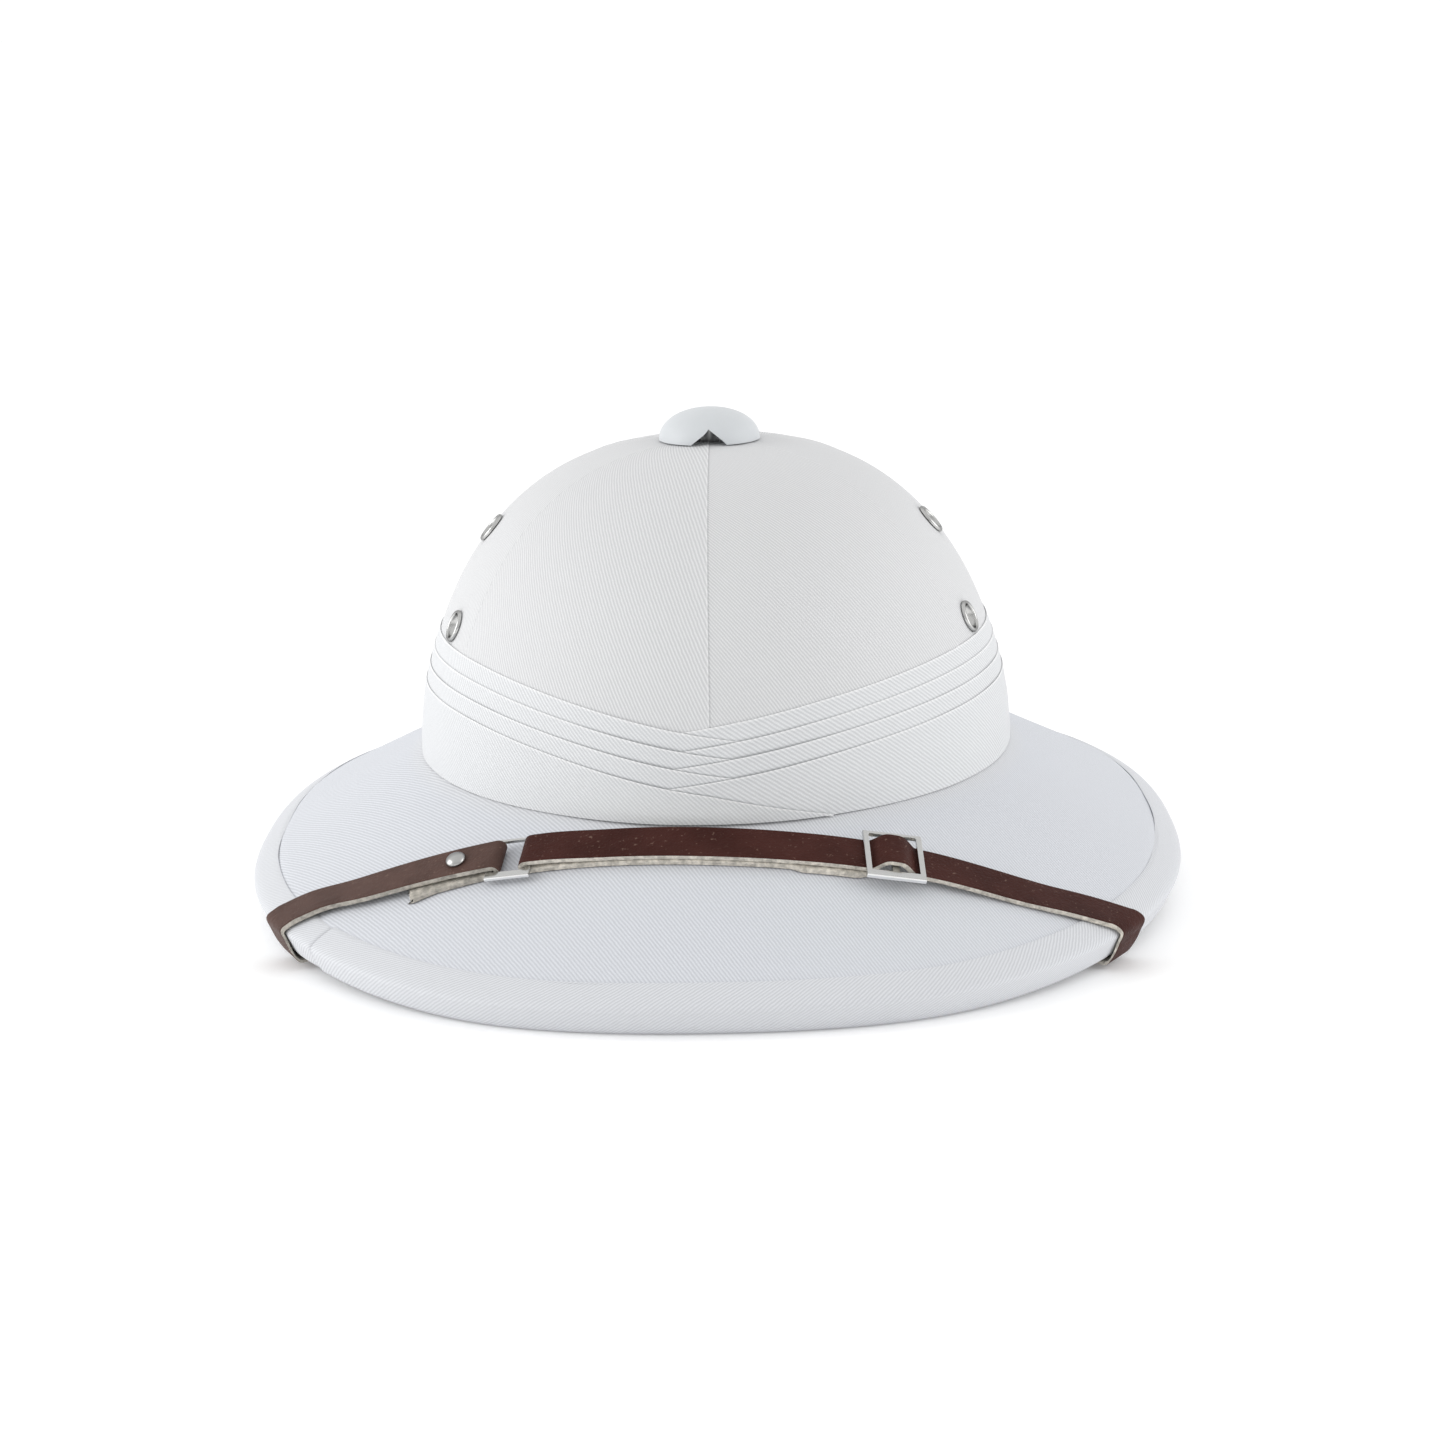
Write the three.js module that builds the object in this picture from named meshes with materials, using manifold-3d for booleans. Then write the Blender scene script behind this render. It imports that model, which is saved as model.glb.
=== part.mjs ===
// A pith helmet: a hollow crown and sloping brim under white twill, with a pleated wrap, a bound edge,
// a ventilator cap, metal air eyelets and a leather chin strap that lies over the front of the brim.
// Millimetres, +Z up. The front faces -Y. The origin is under the crown's axis, where the rim rests.
import * as THREE from 'three';
import { mergeVertices } from 'three/addons/utils/BufferGeometryUtils.js';
import ManifoldModule from 'manifold-3d';

// Crown, outside of the shell
const crownHalfWidth = 92.5;
const crownHalfLength = 109;
const crownHeight = 94.7;
const crownSidePower = 2.65;
const crownTopPower = 1.9;
const crownWall = 3.5;

// Brim, outside of the cloth binding
const brimJoinZ = 43.4;
const rimHalfWidth = 146;
const rimHalfLength = 174;
const rimPlanPower = 2.37;
const edgeHeight = 9.2;
const edgeInset = 4.6;
const ridgeInset = 0.5;
const ridgeDrop = 0.9;
const ridgeRound = 2.2;
const sideArch = 4;
const restingArc = 18;
const brimWall = 3.5;
const lipWall = 3.4;

// Binding, and the gap that any two pieces keep
const clearance = 0.3;
const bindingThickness = 0.9;
const bindingWidth = 9.7;
const bindingReturn = 6;

// Pleated wrap
const wrapHeight = 38.4;
const wrapPleatSpacing = 5.2;
const wrapPleats = 4;
const wrapClothStep = 0.35;
const wrapTopThickness = 0.75;
const wrapFoldDepth = 0.75;
const wrapFoldSplit = 0.6;
const wrapFrontArc = 60;
const wrapBackLap = 0.4;
const wrapCrossHalf = 5;
const wrapLastFoldEnd = 20;

// Ventilator cap and its post
const capRadius = 15.8;
const capHeight = 9.8;
const capWall = 1.5;
const capPower = 2.1;
const capNotchWidth = 10.4;
const capNotchHeight = 4;
const capNotches = 3;
const airHoleRadius = 8;
const postRadius = 3;
const postBarLength = 27;
const postBarWidth = 7;
const postBarThickness = 1.6;

// Air eyelets
const eyeletOuterRadius = 5.3;
const eyeletHoleRadius = 2.8;
const eyeletBarrelWall = 0.55;
const eyeletFlange = 1.0;
const eyeletAboveWrap = 0.5;
const eyeletUpperHeight = 69;
const eyeletUpperTurn = 84.5;
const eyeletLowerTurn = 69.2;

// Chin strap; places along it are plan distances from the front, growing towards +X
const strapWidth = 12;
const strapThickness = 1.7;
const strapLayerGap = 0.4;
const strapFrontGap = 3.9;
const strapRimTurnLeft = -57.5;
const strapRimTurnRight = 52;
const strapAnchorTurn = 80;
const strapAnchorShare = 0.2;
const strapAnchorTail = 8;
const linkAt = -55;
const linkLength = 15.2;
const linkWidth = 17;
const linkBar = 2;
const linkThickness = 1;
const tongueLength = 26;
const tongueSlip = 3.4;
const buckleAt = 52;
const buckleLength = 18;
const buckleWidth = 18;
const buckleBar = 2.2;
const buckleThickness = 1.3;
const tabSlip = 2.6;
const tabSlipLength = 18;
const strapRamp = 7;
const strapShearFrom = 0.5;
const strapWrapFrom = 4;
const rivetRadius = 3;
const rivetHeight = 2.2;
const rivetFromFold = 13;
const anchorRadius = 4.5;
const anchorHeight = 1.6;

// Fineness of the facets
const columns = 66;
const roundSides = 28;
const eyeletSides = 12;
const domeSides = 12;
const strapStep = 6;

const wrapBackShares = [1, 0.67, 0.33, 0];
const crownTopZ = brimJoinZ + crownHeight;
const bindingLift = bindingThickness + clearance;
const eyeletLowerHeight = wrapHeight + eyeletAboveWrap + eyeletOuterRadius;
const eyelets = [
  { name: 'eyelet_upper_left', turn: -eyeletUpperTurn, height: eyeletUpperHeight },
  { name: 'eyelet_upper_right', turn: eyeletUpperTurn, height: eyeletUpperHeight },
  { name: 'eyelet_lower_left', turn: -eyeletLowerTurn, height: eyeletLowerHeight },
  { name: 'eyelet_lower_right', turn: eyeletLowerTurn, height: eyeletLowerHeight },
  { name: 'eyelet_rear_left', turn: eyeletLowerTurn - 180, height: eyeletLowerHeight },
  { name: 'eyelet_rear_right', turn: 180 - eyeletLowerTurn, height: eyeletLowerHeight },
];

const clamp01 = (v) => Math.min(1, Math.max(0, v));
const mix = (a, b, t) => a + (b - a) * t;
const smooth = (t) => clamp01(t) ** 2 * (3 - 2 * clamp01(t));
const signedPower = (v, p) => Math.sign(v) * Math.abs(v) ** p;
const radians = THREE.MathUtils.degToRad;
const range = (n) => Array.from({ length: n }, (_, i) => i);

// Turn is the angle about the crown's axis, 0 at the front and growing towards +X.

/** How far the rim is raised there: 0 on the front and back arcs that it rests on. */
function rimLift(turn) {
  const start = Math.sin(radians(restingArc));
  return sideArch * smooth((Math.abs(Math.sin(radians(turn))) - start) / (1 - start));
}

/** A point of the plan curve that is `share` of the way from the crown's base to the rim, z not set. */
function planPoint(turn, share, inset = 0) {
  const power = 2 / mix(2, rimPlanPower, share);
  const a = mix(crownHalfWidth, rimHalfWidth, share);
  const b = mix(crownHalfLength, rimHalfLength, share);
  const at = (deg) => new THREE.Vector3(
    a * signedPower(Math.sin(radians(deg)), power), -b * signedPower(Math.cos(radians(deg)), power), 0);
  const point = at(turn);
  if (inset === 0) return point;
  const along = at(turn + 0.01).sub(at(turn - 0.01)).normalize();
  return point.add(new THREE.Vector3(-along.y, along.x, 0).multiplyScalar(inset));
}

/** The brim's top, without its binding; the ridge of its edge lies at share 1. */
function brimPoint(turn, share, lift = 0) {
  const point = planPoint(turn, share);
  point.z = mix(brimJoinZ, edgeHeight + rimLift(turn), share) + lift;
  return point;
}

/** The turn and share of the brim above or below a plan position. */
function brimPlace(x, y) {
  let low = 0;
  let high = 1.2;
  const terms = (share) => {
    const power = mix(2, rimPlanPower, share);
    return [
      Math.abs(x / mix(crownHalfWidth, rimHalfWidth, share)) ** power,
      Math.abs(y / mix(crownHalfLength, rimHalfLength, share)) ** power,
    ];
  };
  while (high - low > 1e-7) {
    const share = (low + high) / 2;
    const [u, v] = terms(share);
    if (u + v > 1) low = share;
    else high = share;
  }
  const [u, v] = terms(low);
  const turn = THREE.MathUtils.radToDeg(Math.atan2(Math.sign(x) * Math.sqrt(u), -Math.sign(y) * Math.sqrt(v)));
  return { turn, share: low };
}

/** A point of the crown's outside, `height` above its base, moved out by `out`. */
function crownPoint(turn, height, out = 0, wall = 0) {
  const full = crownHeight - wall;
  const size = (1 - clamp01(height / full) ** crownTopPower) ** (1 / crownSidePower);
  return new THREE.Vector3(
    ((crownHalfWidth - wall) * size + out) * Math.sin(radians(turn)),
    -((crownHalfLength - wall) * size + out) * Math.cos(radians(turn)),
    brimJoinZ + height);
}

function crownNormal(turn, height) {
  const across = crownPoint(turn + 0.1, height).sub(crownPoint(turn - 0.1, height));
  const up = crownPoint(turn, height + 0.1).sub(crownPoint(turn, height - 0.1));
  return across.cross(up).normalize();
}

/** The triangles between two loops of `sides` points, each quad split along its shorter diagonal. */
function strip(points, a, b, sides) {
  return range(sides).flatMap((j) => {
    const k = (j + 1) % sides;
    const [p, q, r, s] = [a + j, b + j, b + k, a + k];
    return points[p].distanceTo(points[r]) < points[q].distanceTo(points[s])
      ? [p, q, r, p, r, s]
      : [p, q, s, q, r, s];
  });
}

function indexed(points, index) {
  const geometry = new THREE.BufferGeometry();
  geometry.setAttribute('position', new THREE.Float32BufferAttribute(points.flatMap((p) => [p.x, p.y, p.z]), 3));
  geometry.setIndex(index);
  return geometry;
}

/** A closed mesh from rings of points: each ring is a loop, and the last ring joins the first. */
function ringTorus(loops) {
  const sides = loops[0].length;
  const points = loops.flat();
  return indexed(points, loops.flatMap((_, i) => strip(points, i * sides, ((i + 1) % loops.length) * sides, sides)));
}

/** A closed mesh from rings of points between two poles. */
function ringCapsule(firstPole, loops, lastPole) {
  const sides = loops[0].length;
  const points = [firstPole, ...loops.flat(), lastPole];
  const last = points.length - 1;
  const caps = range(sides).flatMap((j) => {
    const k = (j + 1) % sides;
    return [0, 1 + j, 1 + k, last, last - sides + k, last - sides + j];
  });
  const sidesIndex = range(loops.length - 1).flatMap((i) => strip(points, 1 + i * sides, 1 + (i + 1) * sides, sides));
  return indexed(points, [...caps, ...sidesIndex]);
}

/** A closed mesh from sections, each a loop of points, with flat fans over the two ends. */
function sectionSweep(sections) {
  const sides = sections[0].length;
  const points = sections.flat();
  const end = points.length - sides;
  const sidesIndex = range(sections.length - 1).flatMap((i) => strip(points, i * sides, (i + 1) * sides, sides));
  const fans = range(sides - 2).flatMap((j) => [0, j + 1, j + 2, end, end + j + 2, end + j + 1]);
  return indexed(points, [...fans, ...sidesIndex]);
}

const wasm = await ManifoldModule();
wasm.setup();

function toSolid(geometry) {
  const bare = geometry.clone();
  bare.deleteAttribute('normal');
  bare.deleteAttribute('uv');
  const merged = mergeVertices(bare, 1e-4);
  return new wasm.Manifold(new wasm.Mesh({
    numProp: 3,
    vertProperties: new Float32Array(merged.attributes.position.array),
    triVerts: new Uint32Array(merged.index.array),
  }));
}

function toGeometry(solid) {
  const { vertProperties, triVerts } = solid.getMesh();
  const geometry = new THREE.BufferGeometry();
  geometry.setAttribute('position', new THREE.Float32BufferAttribute(vertProperties, 3));
  geometry.setIndex(Array.from(triVerts));
  return geometry;
}

function cut(geometry, cutters) {
  const body = cutters.reduce((solid, cutter) => solid.subtract(toSolid(cutter)), toSolid(geometry));
  return toGeometry(body);
}

const standard = (color, roughness, metalness = 0) => new THREE.MeshStandardMaterial({ color, roughness, metalness });
const material = {
  twill: () => standard(0xeceef0, 0.85),
  wrap: () => standard(0xf0f1f2, 0.85),
  cap: () => standard(0xf2f4f5, 0.5),
  leather: () => standard(0x3f1d17, 0.55),
  steel: () => standard(0xc8cac8, 0.3, 1),
};

function named(name, geometry, look) {
  const flat = geometry.index ? geometry.toNonIndexed() : geometry;
  flat.computeVertexNormals();
  const mesh = new THREE.Mesh(flat, look);
  mesh.name = name;
  return mesh;
}

// Edge of the brim

/** The rounded ridge, face, land and inner side of the brim's edge, set back by `depth` all round. */
function edgeSection(turn, depth) {
  const lift = rimLift(turn);
  const ridgeZ = edgeHeight + lift;
  const slopeDrop = brimPoint(turn, 1).z - brimPoint(turn, 0.98).z;
  const slopeRun = planPoint(turn, 1).distanceTo(planPoint(turn, 0.98));
  const slope = slopeDrop / slopeRun;
  const along = 1 / Math.hypot(1, slope);
  const landWidth = lipWall + 2 * bindingLift;
  const at = (inset, z) => {
    const p = planPoint(turn, 1, inset);
    p.z = z;
    return p;
  };
  const onTop = (back) => at(back * along, ridgeZ - back * along * slope - depth / along);
  return {
    innerLine: onTop(bindingWidth),
    nearRidge: onTop(ridgeRound + depth * 0.6),
    ridge: at(ridgeInset + depth * 1.1, ridgeZ - ridgeDrop - depth * 0.2),
    face: at(edgeInset * 0.3 + depth, ridgeZ - edgeHeight * 0.3),
    foot: at(edgeInset + depth, lift + depth),
    heel: at(edgeInset + landWidth - depth, lift + depth),
    under: at(edgeInset + landWidth - depth, lift + bindingReturn),
  };
}

const turnsAround = (count) => range(count).map((i) => (360 * i) / count);
const rings = (turns, rows) => rows.map((row) => turns.map(row));

function shellGeometry() {
  const turns = turnsAround(columns);
  const outerSteps = [0.05, 0.14, 0.24, 0.34, 0.45, 0.56, 0.66];
  const innerSteps = [0.82, 0.64, 0.46, 0.3, 0.16, 0.06];
  const heightAt = (step, full) => full * Math.cos(step * Math.PI / 2) ** (2 / crownTopPower);
  const brimShares = [0.33, 0.67];
  const edge = (key) => (turn) => edgeSection(turn, bindingLift)[key];
  const underside = (share) => (turn) => {
    const top = brimPoint(turn, share);
    const run = planPoint(turn, 1).distanceTo(planPoint(turn, 0));
    const drop = brimJoinZ - brimPoint(turn, 1).z;
    top.z -= brimWall * Math.hypot(run, drop) / run;
    return top;
  };
  const lipTop = (turn) => {
    const heel = edgeSection(turn, bindingLift).heel;
    const place = brimPlace(heel.x, heel.y);
    heel.z = underside(place.share)(place.turn).z;
    return heel;
  };
  const innerBase = (turn) => {
    const p = crownPoint(turn, 0, 0, crownWall);
    p.z = underside(-crownWall / planPoint(turn, 1).distanceTo(planPoint(turn, 0)))(turn).z;
    return p;
  };
  const rows = [
    ...outerSteps.map((step) => (turn) => crownPoint(turn, heightAt(step, crownHeight))),
    ...wrapBackShares.map((share) => (turn) => crownPoint(turn, share * wrapHeight)),
    ...brimShares.map((share) => (turn) => brimPoint(turn, share)),
    (turn) => edgeSection(turn, 0).innerLine,
    edge('nearRidge'), edge('ridge'), edge('face'), edge('foot'), edge('heel'),
    lipTop,
    underside(0.45),
    innerBase,
    ...innerSteps.map((step) => (turn) => crownPoint(
      turn, heightAt(step, crownHeight - crownWall), 0, crownWall)),
  ];
  const top = new THREE.Vector3(0, 0, crownTopZ);
  const inside = new THREE.Vector3(0, 0, crownTopZ - crownWall);
  const body = ringCapsule(top, rings(turns, rows), inside);
  const holes = eyelets.map(({ turn, height }) => {
    const hole = new THREE.CylinderGeometry(
      eyeletHoleRadius + eyeletBarrelWall + clearance, eyeletHoleRadius + eyeletBarrelWall + clearance,
      6 * crownWall, eyeletSides);
    hole.rotateX(Math.PI / 2);
    return placeOnCrown(hole, turn, height);
  });
  const airHole = new THREE.CylinderGeometry(airHoleRadius, airHoleRadius, 6 * crownWall, roundSides);
  airHole.rotateX(Math.PI / 2);
  airHole.translate(0, 0, crownTopZ);
  return cut(body, [...holes, airHole]);
}

/** Moves a geometry that is modelled on +Z to the crown, with +Z along the crown's normal. */
function placeOnCrown(geometry, turn, height) {
  const normal = crownNormal(turn, height);
  geometry.applyQuaternion(new THREE.Quaternion().setFromUnitVectors(new THREE.Vector3(0, 0, 1), normal));
  const at = crownPoint(turn, height);
  geometry.translate(at.x, at.y, at.z);
  return geometry;
}

function bindingGeometry() {
  const turns = turnsAround(columns);
  const skin = (key) => (turn) => edgeSection(turn, 0)[key];
  const back = (key) => (turn) => edgeSection(turn, bindingThickness)[key];
  const raised = (lift) => (turn) => {
    const p = edgeSection(turn, 0).innerLine;
    p.z += lift;
    return p;
  };
  const rows = [
    raised(bindingLift), skin('nearRidge'), skin('ridge'), skin('face'), skin('foot'), skin('heel'), skin('under'),
    back('under'), back('heel'), back('foot'), back('face'), back('ridge'), back('nearRidge'), raised(clearance),
  ];
  return ringTorus(rings(turns, rows));
}

// Pleated wrap

/** Height of the wrap's top edge: it dips to the crossing at the front. */
function wrapTop(turn) {
  const dips = [
    { turn: 0, share: 0.7 },
    { turn: 10, share: 0.765 },
    { turn: 20, share: 0.835 },
    { turn: 35, share: 0.915 },
    { turn: 50, share: 0.97 },
    { turn: 68, share: 1 },
    { turn: 180, share: 1 },
  ];
  const away = Math.abs(turn);
  const k = Math.max(1, dips.findIndex((dip) => dip.turn >= away));
  const [from, to] = [dips[k - 1], dips[k]];
  return wrapHeight * mix(from.share, to.share, (away - from.turn) / (to.turn - from.turn));
}

/** Height and thickness of the two rows of fold k, where the folds of both sides interlock at the front. */
function wrapFold(turn, k) {
  const rightward = clamp01((turn + wrapCrossHalf) / (2 * wrapCrossHalf));
  const front = smooth(1 - Math.abs(turn) / wrapFrontArc);
  const left = wrapTop(turn) - k * wrapPleatSpacing - front * wrapPleatSpacing / 2;
  const right = wrapTop(turn) - k * wrapPleatSpacing;
  const nextRight = right - wrapPleatSpacing;
  const edge = wrapTopThickness + k * wrapClothStep;
  const behind = (fold) => clearance + wrapTopThickness + fold * wrapClothStep - wrapFoldDepth;
  const lastFold = (wrapTop(0) - (k + 0.5) * wrapPleatSpacing) * (1 - (turn - wrapCrossHalf) / wrapLastFoldEnd);
  const last = k === wrapPleats - 1;
  const split = wrapFoldSplit / 2;
  return {
    upper: {
      height: mix(left + split, right - split, rightward),
      out: mix(behind(k), clearance + edge, rightward),
    },
    lower: {
      height: mix(left - split, last ? Math.max(lastFold, 2 * split) : nextRight + split, rightward),
      out: mix(clearance + edge, last ? clearance + edge : behind(k + 1), rightward),
    },
  };
}

function wrapGeometry() {
  const side = range(columns + 1).map((i) => -180 + (360 * i) / columns);
  side[side.length - 1] -= wrapBackLap;
  const turns = [...side, -wrapCrossHalf / 2, wrapCrossHalf / 2].sort((a, b) => a - b);
  const onBrim = (out) => (turn) => {
    const p = crownPoint(turn, 0, out);
    const { turn: at, share } = brimPlace(p.x, p.y);
    p.z = brimPoint(at, share, clearance).z;
    return p;
  };
  const folds = range(wrapPleats).flatMap((k) => ['upper', 'lower'].map((row) => (turn) => {
    const { height, out } = wrapFold(turn, k)[row];
    return crownPoint(turn, height, out);
  }));
  const bandFoot = clearance + wrapTopThickness + (wrapPleats - 1) * wrapClothStep;
  const back = wrapBackShares.slice(1, -1).reverse().map((share) => (turn) => crownPoint(
    turn, share * wrapHeight, clearance));
  const rows = [
    ...folds,
    (turn) => crownPoint(turn, wrapFoldSplit / 4, bandFoot),
    onBrim(bandFoot),
    onBrim(clearance),
    ...back,
    (turn) => crownPoint(turn, wrapFold(turn, 0).upper.height, clearance),
  ];
  return ringTorus(rings(turns, rows));
}

// Ventilator cap, post and eyelets

/** A closed lathe solid about +Z from a profile of [radius, height] pairs. */
function turned(profile, sides) {
  const geometry = new THREE.LatheGeometry(profile.map(([r, z]) => new THREE.Vector2(r, z)), sides);
  return geometry.rotateX(Math.PI / 2);
}

const crownHeightAt = (radius, wall = 0) => (crownHeight - wall)
  * (1 - (radius / (crownHalfLength - wall)) ** crownSidePower) ** (1 / crownTopPower);
const capRimZ = brimJoinZ + crownHeightAt(capRadius - capWall) + clearance;

function capGeometry() {
  const steps = [1, 0.85, 0.7, 0.55, 0.4, 0.2, 0];
  const dome = (inset) => steps.map((step) => [
    (capRadius - inset) * Math.sin(step * Math.PI / 2) ** (2 / capPower),
    (capHeight - inset) * Math.cos(step * Math.PI / 2) ** (2 / capPower),
  ]);
  const snug = (pairs) => pairs.map(([r, z]) => [r < 1e-6 ? 0 : r, z < 1e-6 ? 0 : z]);
  const outer = snug(dome(0));
  const inner = snug(dome(capWall)).reverse();
  const cap = turned([...inner.slice(0, -1), [capRadius - capWall, 0], ...outer], roundSides);
  cap.translate(0, 0, capRimZ);
  const notches = range(capNotches).map((i) => {
    const shape = new THREE.Shape();
    shape.moveTo(-capNotchWidth / 2, -1);
    shape.lineTo(capNotchWidth / 2, -1);
    shape.lineTo(capNotchWidth / 2, 0);
    shape.lineTo(0, capNotchHeight);
    shape.lineTo(-capNotchWidth / 2, 0);
    const notch = new THREE.ExtrudeGeometry(shape, { depth: capRadius, bevelEnabled: false });
    notch.rotateX(Math.PI / 2);
    notch.translate(0, -capRadius / 2, 0);
    notch.rotateZ((i * 2 * Math.PI) / capNotches);
    notch.translate(0, 0, capRimZ);
    return notch;
  });
  return cut(cap, notches);
}

function postGeometry() {
  const barTop = brimJoinZ + crownHeightAt((postBarLength + postBarWidth) / 2, crownWall) - clearance;
  const tip = capRimZ + capHeight - capWall - 2 * clearance;
  const bar = new THREE.BoxGeometry(postBarWidth, postBarLength, postBarThickness);
  bar.translate(0, 0, barTop - postBarThickness / 2);
  const post = new THREE.CylinderGeometry(postRadius, postRadius, tip - barTop + postBarThickness / 2, 16);
  post.rotateX(Math.PI / 2);
  post.translate(0, 0, (tip + barTop - postBarThickness / 2) / 2);
  return toGeometry(toSolid(bar).add(toSolid(post)));
}

function eyeletGeometry({ turn, height }) {
  const barrel = eyeletHoleRadius + eyeletBarrelWall;
  const foot = -crownWall - clearance;
  const seat = clearance;
  const top = seat + eyeletFlange;
  const profile = [
    [eyeletHoleRadius, foot],
    [barrel, foot],
    [barrel, seat],
    [eyeletOuterRadius, seat],
    [eyeletOuterRadius, seat + eyeletFlange * 0.4],
    [eyeletOuterRadius - eyeletFlange * 0.7, top],
    [barrel, top],
    [eyeletHoleRadius, seat + eyeletFlange * 0.4],
    [eyeletHoleRadius, foot],
  ];
  return placeOnCrown(turned(profile, eyeletSides), turn, height);
}

// Chin strap

/** Plan route of the strap's middle over the brim: two straight runs, bent round the crown's front. */
const strapRoute = (() => {
  const front = -(crownHalfLength + clearance + wrapTopThickness + (wrapPleats - 1) * wrapClothStep
    + strapFrontGap + strapWidth / 2);
  const middle = new THREE.Vector2(0, front);
  const flat = (turn) => {
    const p = planPoint(turn, 1);
    return new THREE.Vector2(p.x, p.y);
  };
  const left = flat(strapRimTurnLeft);
  const right = flat(strapRimTurnRight);
  const bend = 0.25;
  const before = middle.clone().lerp(left, bend);
  const after = middle.clone().lerp(right, bend);
  const path = new THREE.CurvePath();
  path.add(new THREE.LineCurve(left, before));
  path.add(new THREE.QuadraticBezierCurve(before, middle, after));
  path.add(new THREE.LineCurve(after, right));
  const lengths = path.getCurveLengths();
  const toMiddle = lengths[0] + (lengths[1] - lengths[0]) / 2;
  return { path, start: -toMiddle, end: lengths[2] - toMiddle, total: lengths[2] };
})();

/** How far the cloth lies above the bare brim at a place, with a ramp up to the binding's raised edge. */
function skinLift({ turn, share }) {
  const rule = brimPoint(turn, 0).distanceTo(brimPoint(turn, 1));
  const back = (1 - share) * rule;
  if (back > bindingWidth) return bindingLift * smooth(1 - (back - bindingWidth) / strapRamp);
  return bindingLift * clamp01(back / bindingWidth);
}

/** The brim's skin at a plan position, with its normal. */
function skinAt(x, y) {
  const onSkin = (px, py) => {
    const place = brimPlace(px, py);
    const p = brimPoint(place.turn, place.share, skinLift(place));
    return new THREE.Vector3(px, py, p.z);
  };
  const point = onSkin(x, y);
  const e = 0.5;
  const bare = (px, py) => {
    const place = brimPlace(px, py);
    return new THREE.Vector3(px, py, brimPoint(place.turn, place.share).z);
  };
  const alongX = bare(x + e, y).sub(bare(x - e, y));
  const alongY = bare(x, y + e).sub(bare(x, y - e));
  return { point, normal: alongX.cross(alongY).normalize() };
}

/** The strap's frame at a distance along it: middle, direction, normal and the places of both edges. */
function strapFrame(distance, slip = 0) {
  const share = clamp01((distance - strapRoute.start) / strapRoute.total);
  const middle = strapRoute.path.getPointAt(share);
  const heading = strapRoute.path.getTangentAt(share);
  const across = new THREE.Vector2(-heading.y, heading.x);
  const end = distance < 0 ? strapRoute.start : strapRoute.end;
  const rimTurn = distance < 0 ? strapRimTurnLeft : strapRimTurnRight;
  const rimAlong = planPoint(rimTurn + 0.5, 1).sub(planPoint(rimTurn - 0.5, 1)).normalize();
  const rim2 = new THREE.Vector2(rimAlong.x, rimAlong.y);
  const skew = rim2.dot(heading) / rim2.dot(across);
  const shear = skew * smooth((distance / end - strapShearFrom) / (1 - strapShearFrom));
  const centre = skinAt(middle.x, middle.y);
  const toward = skinAt(middle.x + across.x, middle.y + across.y).point.z - centre.point.z;
  const planWidth = strapWidth / Math.hypot(1, Math.max(-1, Math.min(1, toward)));
  const edge = (side) => {
    const x = middle.x + (side * planWidth / 2 - slip) * across.x + side * (planWidth / 2) * shear * heading.x;
    const y = middle.y + (side * planWidth / 2 - slip) * across.y + side * (planWidth / 2) * shear * heading.y;
    return skinAt(x, y);
  };
  const edges = [edge(1), edge(-1)];
  const normal = edges[0].normal.clone().add(edges[1].normal).normalize();
  const flatHeading = new THREE.Vector3(heading.x, heading.y, 0);
  const direction = flatHeading.addScaledVector(normal, -flatHeading.dot(normal)).normalize();
  return { edges, normal, direction, point: centre.point };
}

/** A strap section from its two edge places, each moved out along its normal. */
function strapSection(edges, lift, facing) {
  const half = strapThickness / 2;
  const [a, b] = edges.map(({ point, normal }) => point.clone().addScaledVector(normal, lift));
  const [na, nb] = facing;
  return [
    a.clone().addScaledVector(na, -half),
    b.clone().addScaledVector(nb, -half),
    b.clone().addScaledVector(nb, half),
    a.clone().addScaledVector(na, half),
  ];
}

/** Sections over the brim from a path of {at, lift, slip}, where lift is the strap's middle above the skin. */
function strapRun(path) {
  return path.map(({ at, lift, slip = 0 }, i) => {
    const before = path[Math.max(0, i - 1)];
    const after = path[Math.min(path.length - 1, i + 1)];
    const climb = new THREE.Vector2(after.at - before.at, after.lift - before.lift).normalize();
    const { edges, normal, direction } = strapFrame(at, slip);
    const facing = normal.clone().multiplyScalar(climb.x).addScaledVector(direction, -climb.y).normalize();
    return strapSection(edges, lift, [facing, facing]);
  });
}

const strapSeat = 1.5 * clearance;
const layerOne = strapSeat + strapThickness / 2;
const foldRadius = linkThickness / 2 + 2 * clearance + strapThickness / 2;
const underGap = 2 * clearance;
const linkLift = layerOne + foldRadius;
const layerTwo = layerOne + strapThickness + strapLayerGap;

/** Places from one distance to another, in even steps. */
function stretch(from, to, step, place) {
  const count = Math.max(1, Math.ceil(Math.abs(to - from) / step));
  return range(count + 1).map((i) => place(mix(from, to, i / count)));
}

/** A half-turn round one of the link's bars; `way` is the side that the fold bulges to. */
function foldRound(at, way) {
  return [60, 30, 0, -30, -60].map((degrees) => ({
    at: at + way * foldRadius * Math.cos(radians(degrees)),
    lift: linkLift + foldRadius * Math.sin(radians(degrees)),
  }));
}

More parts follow.
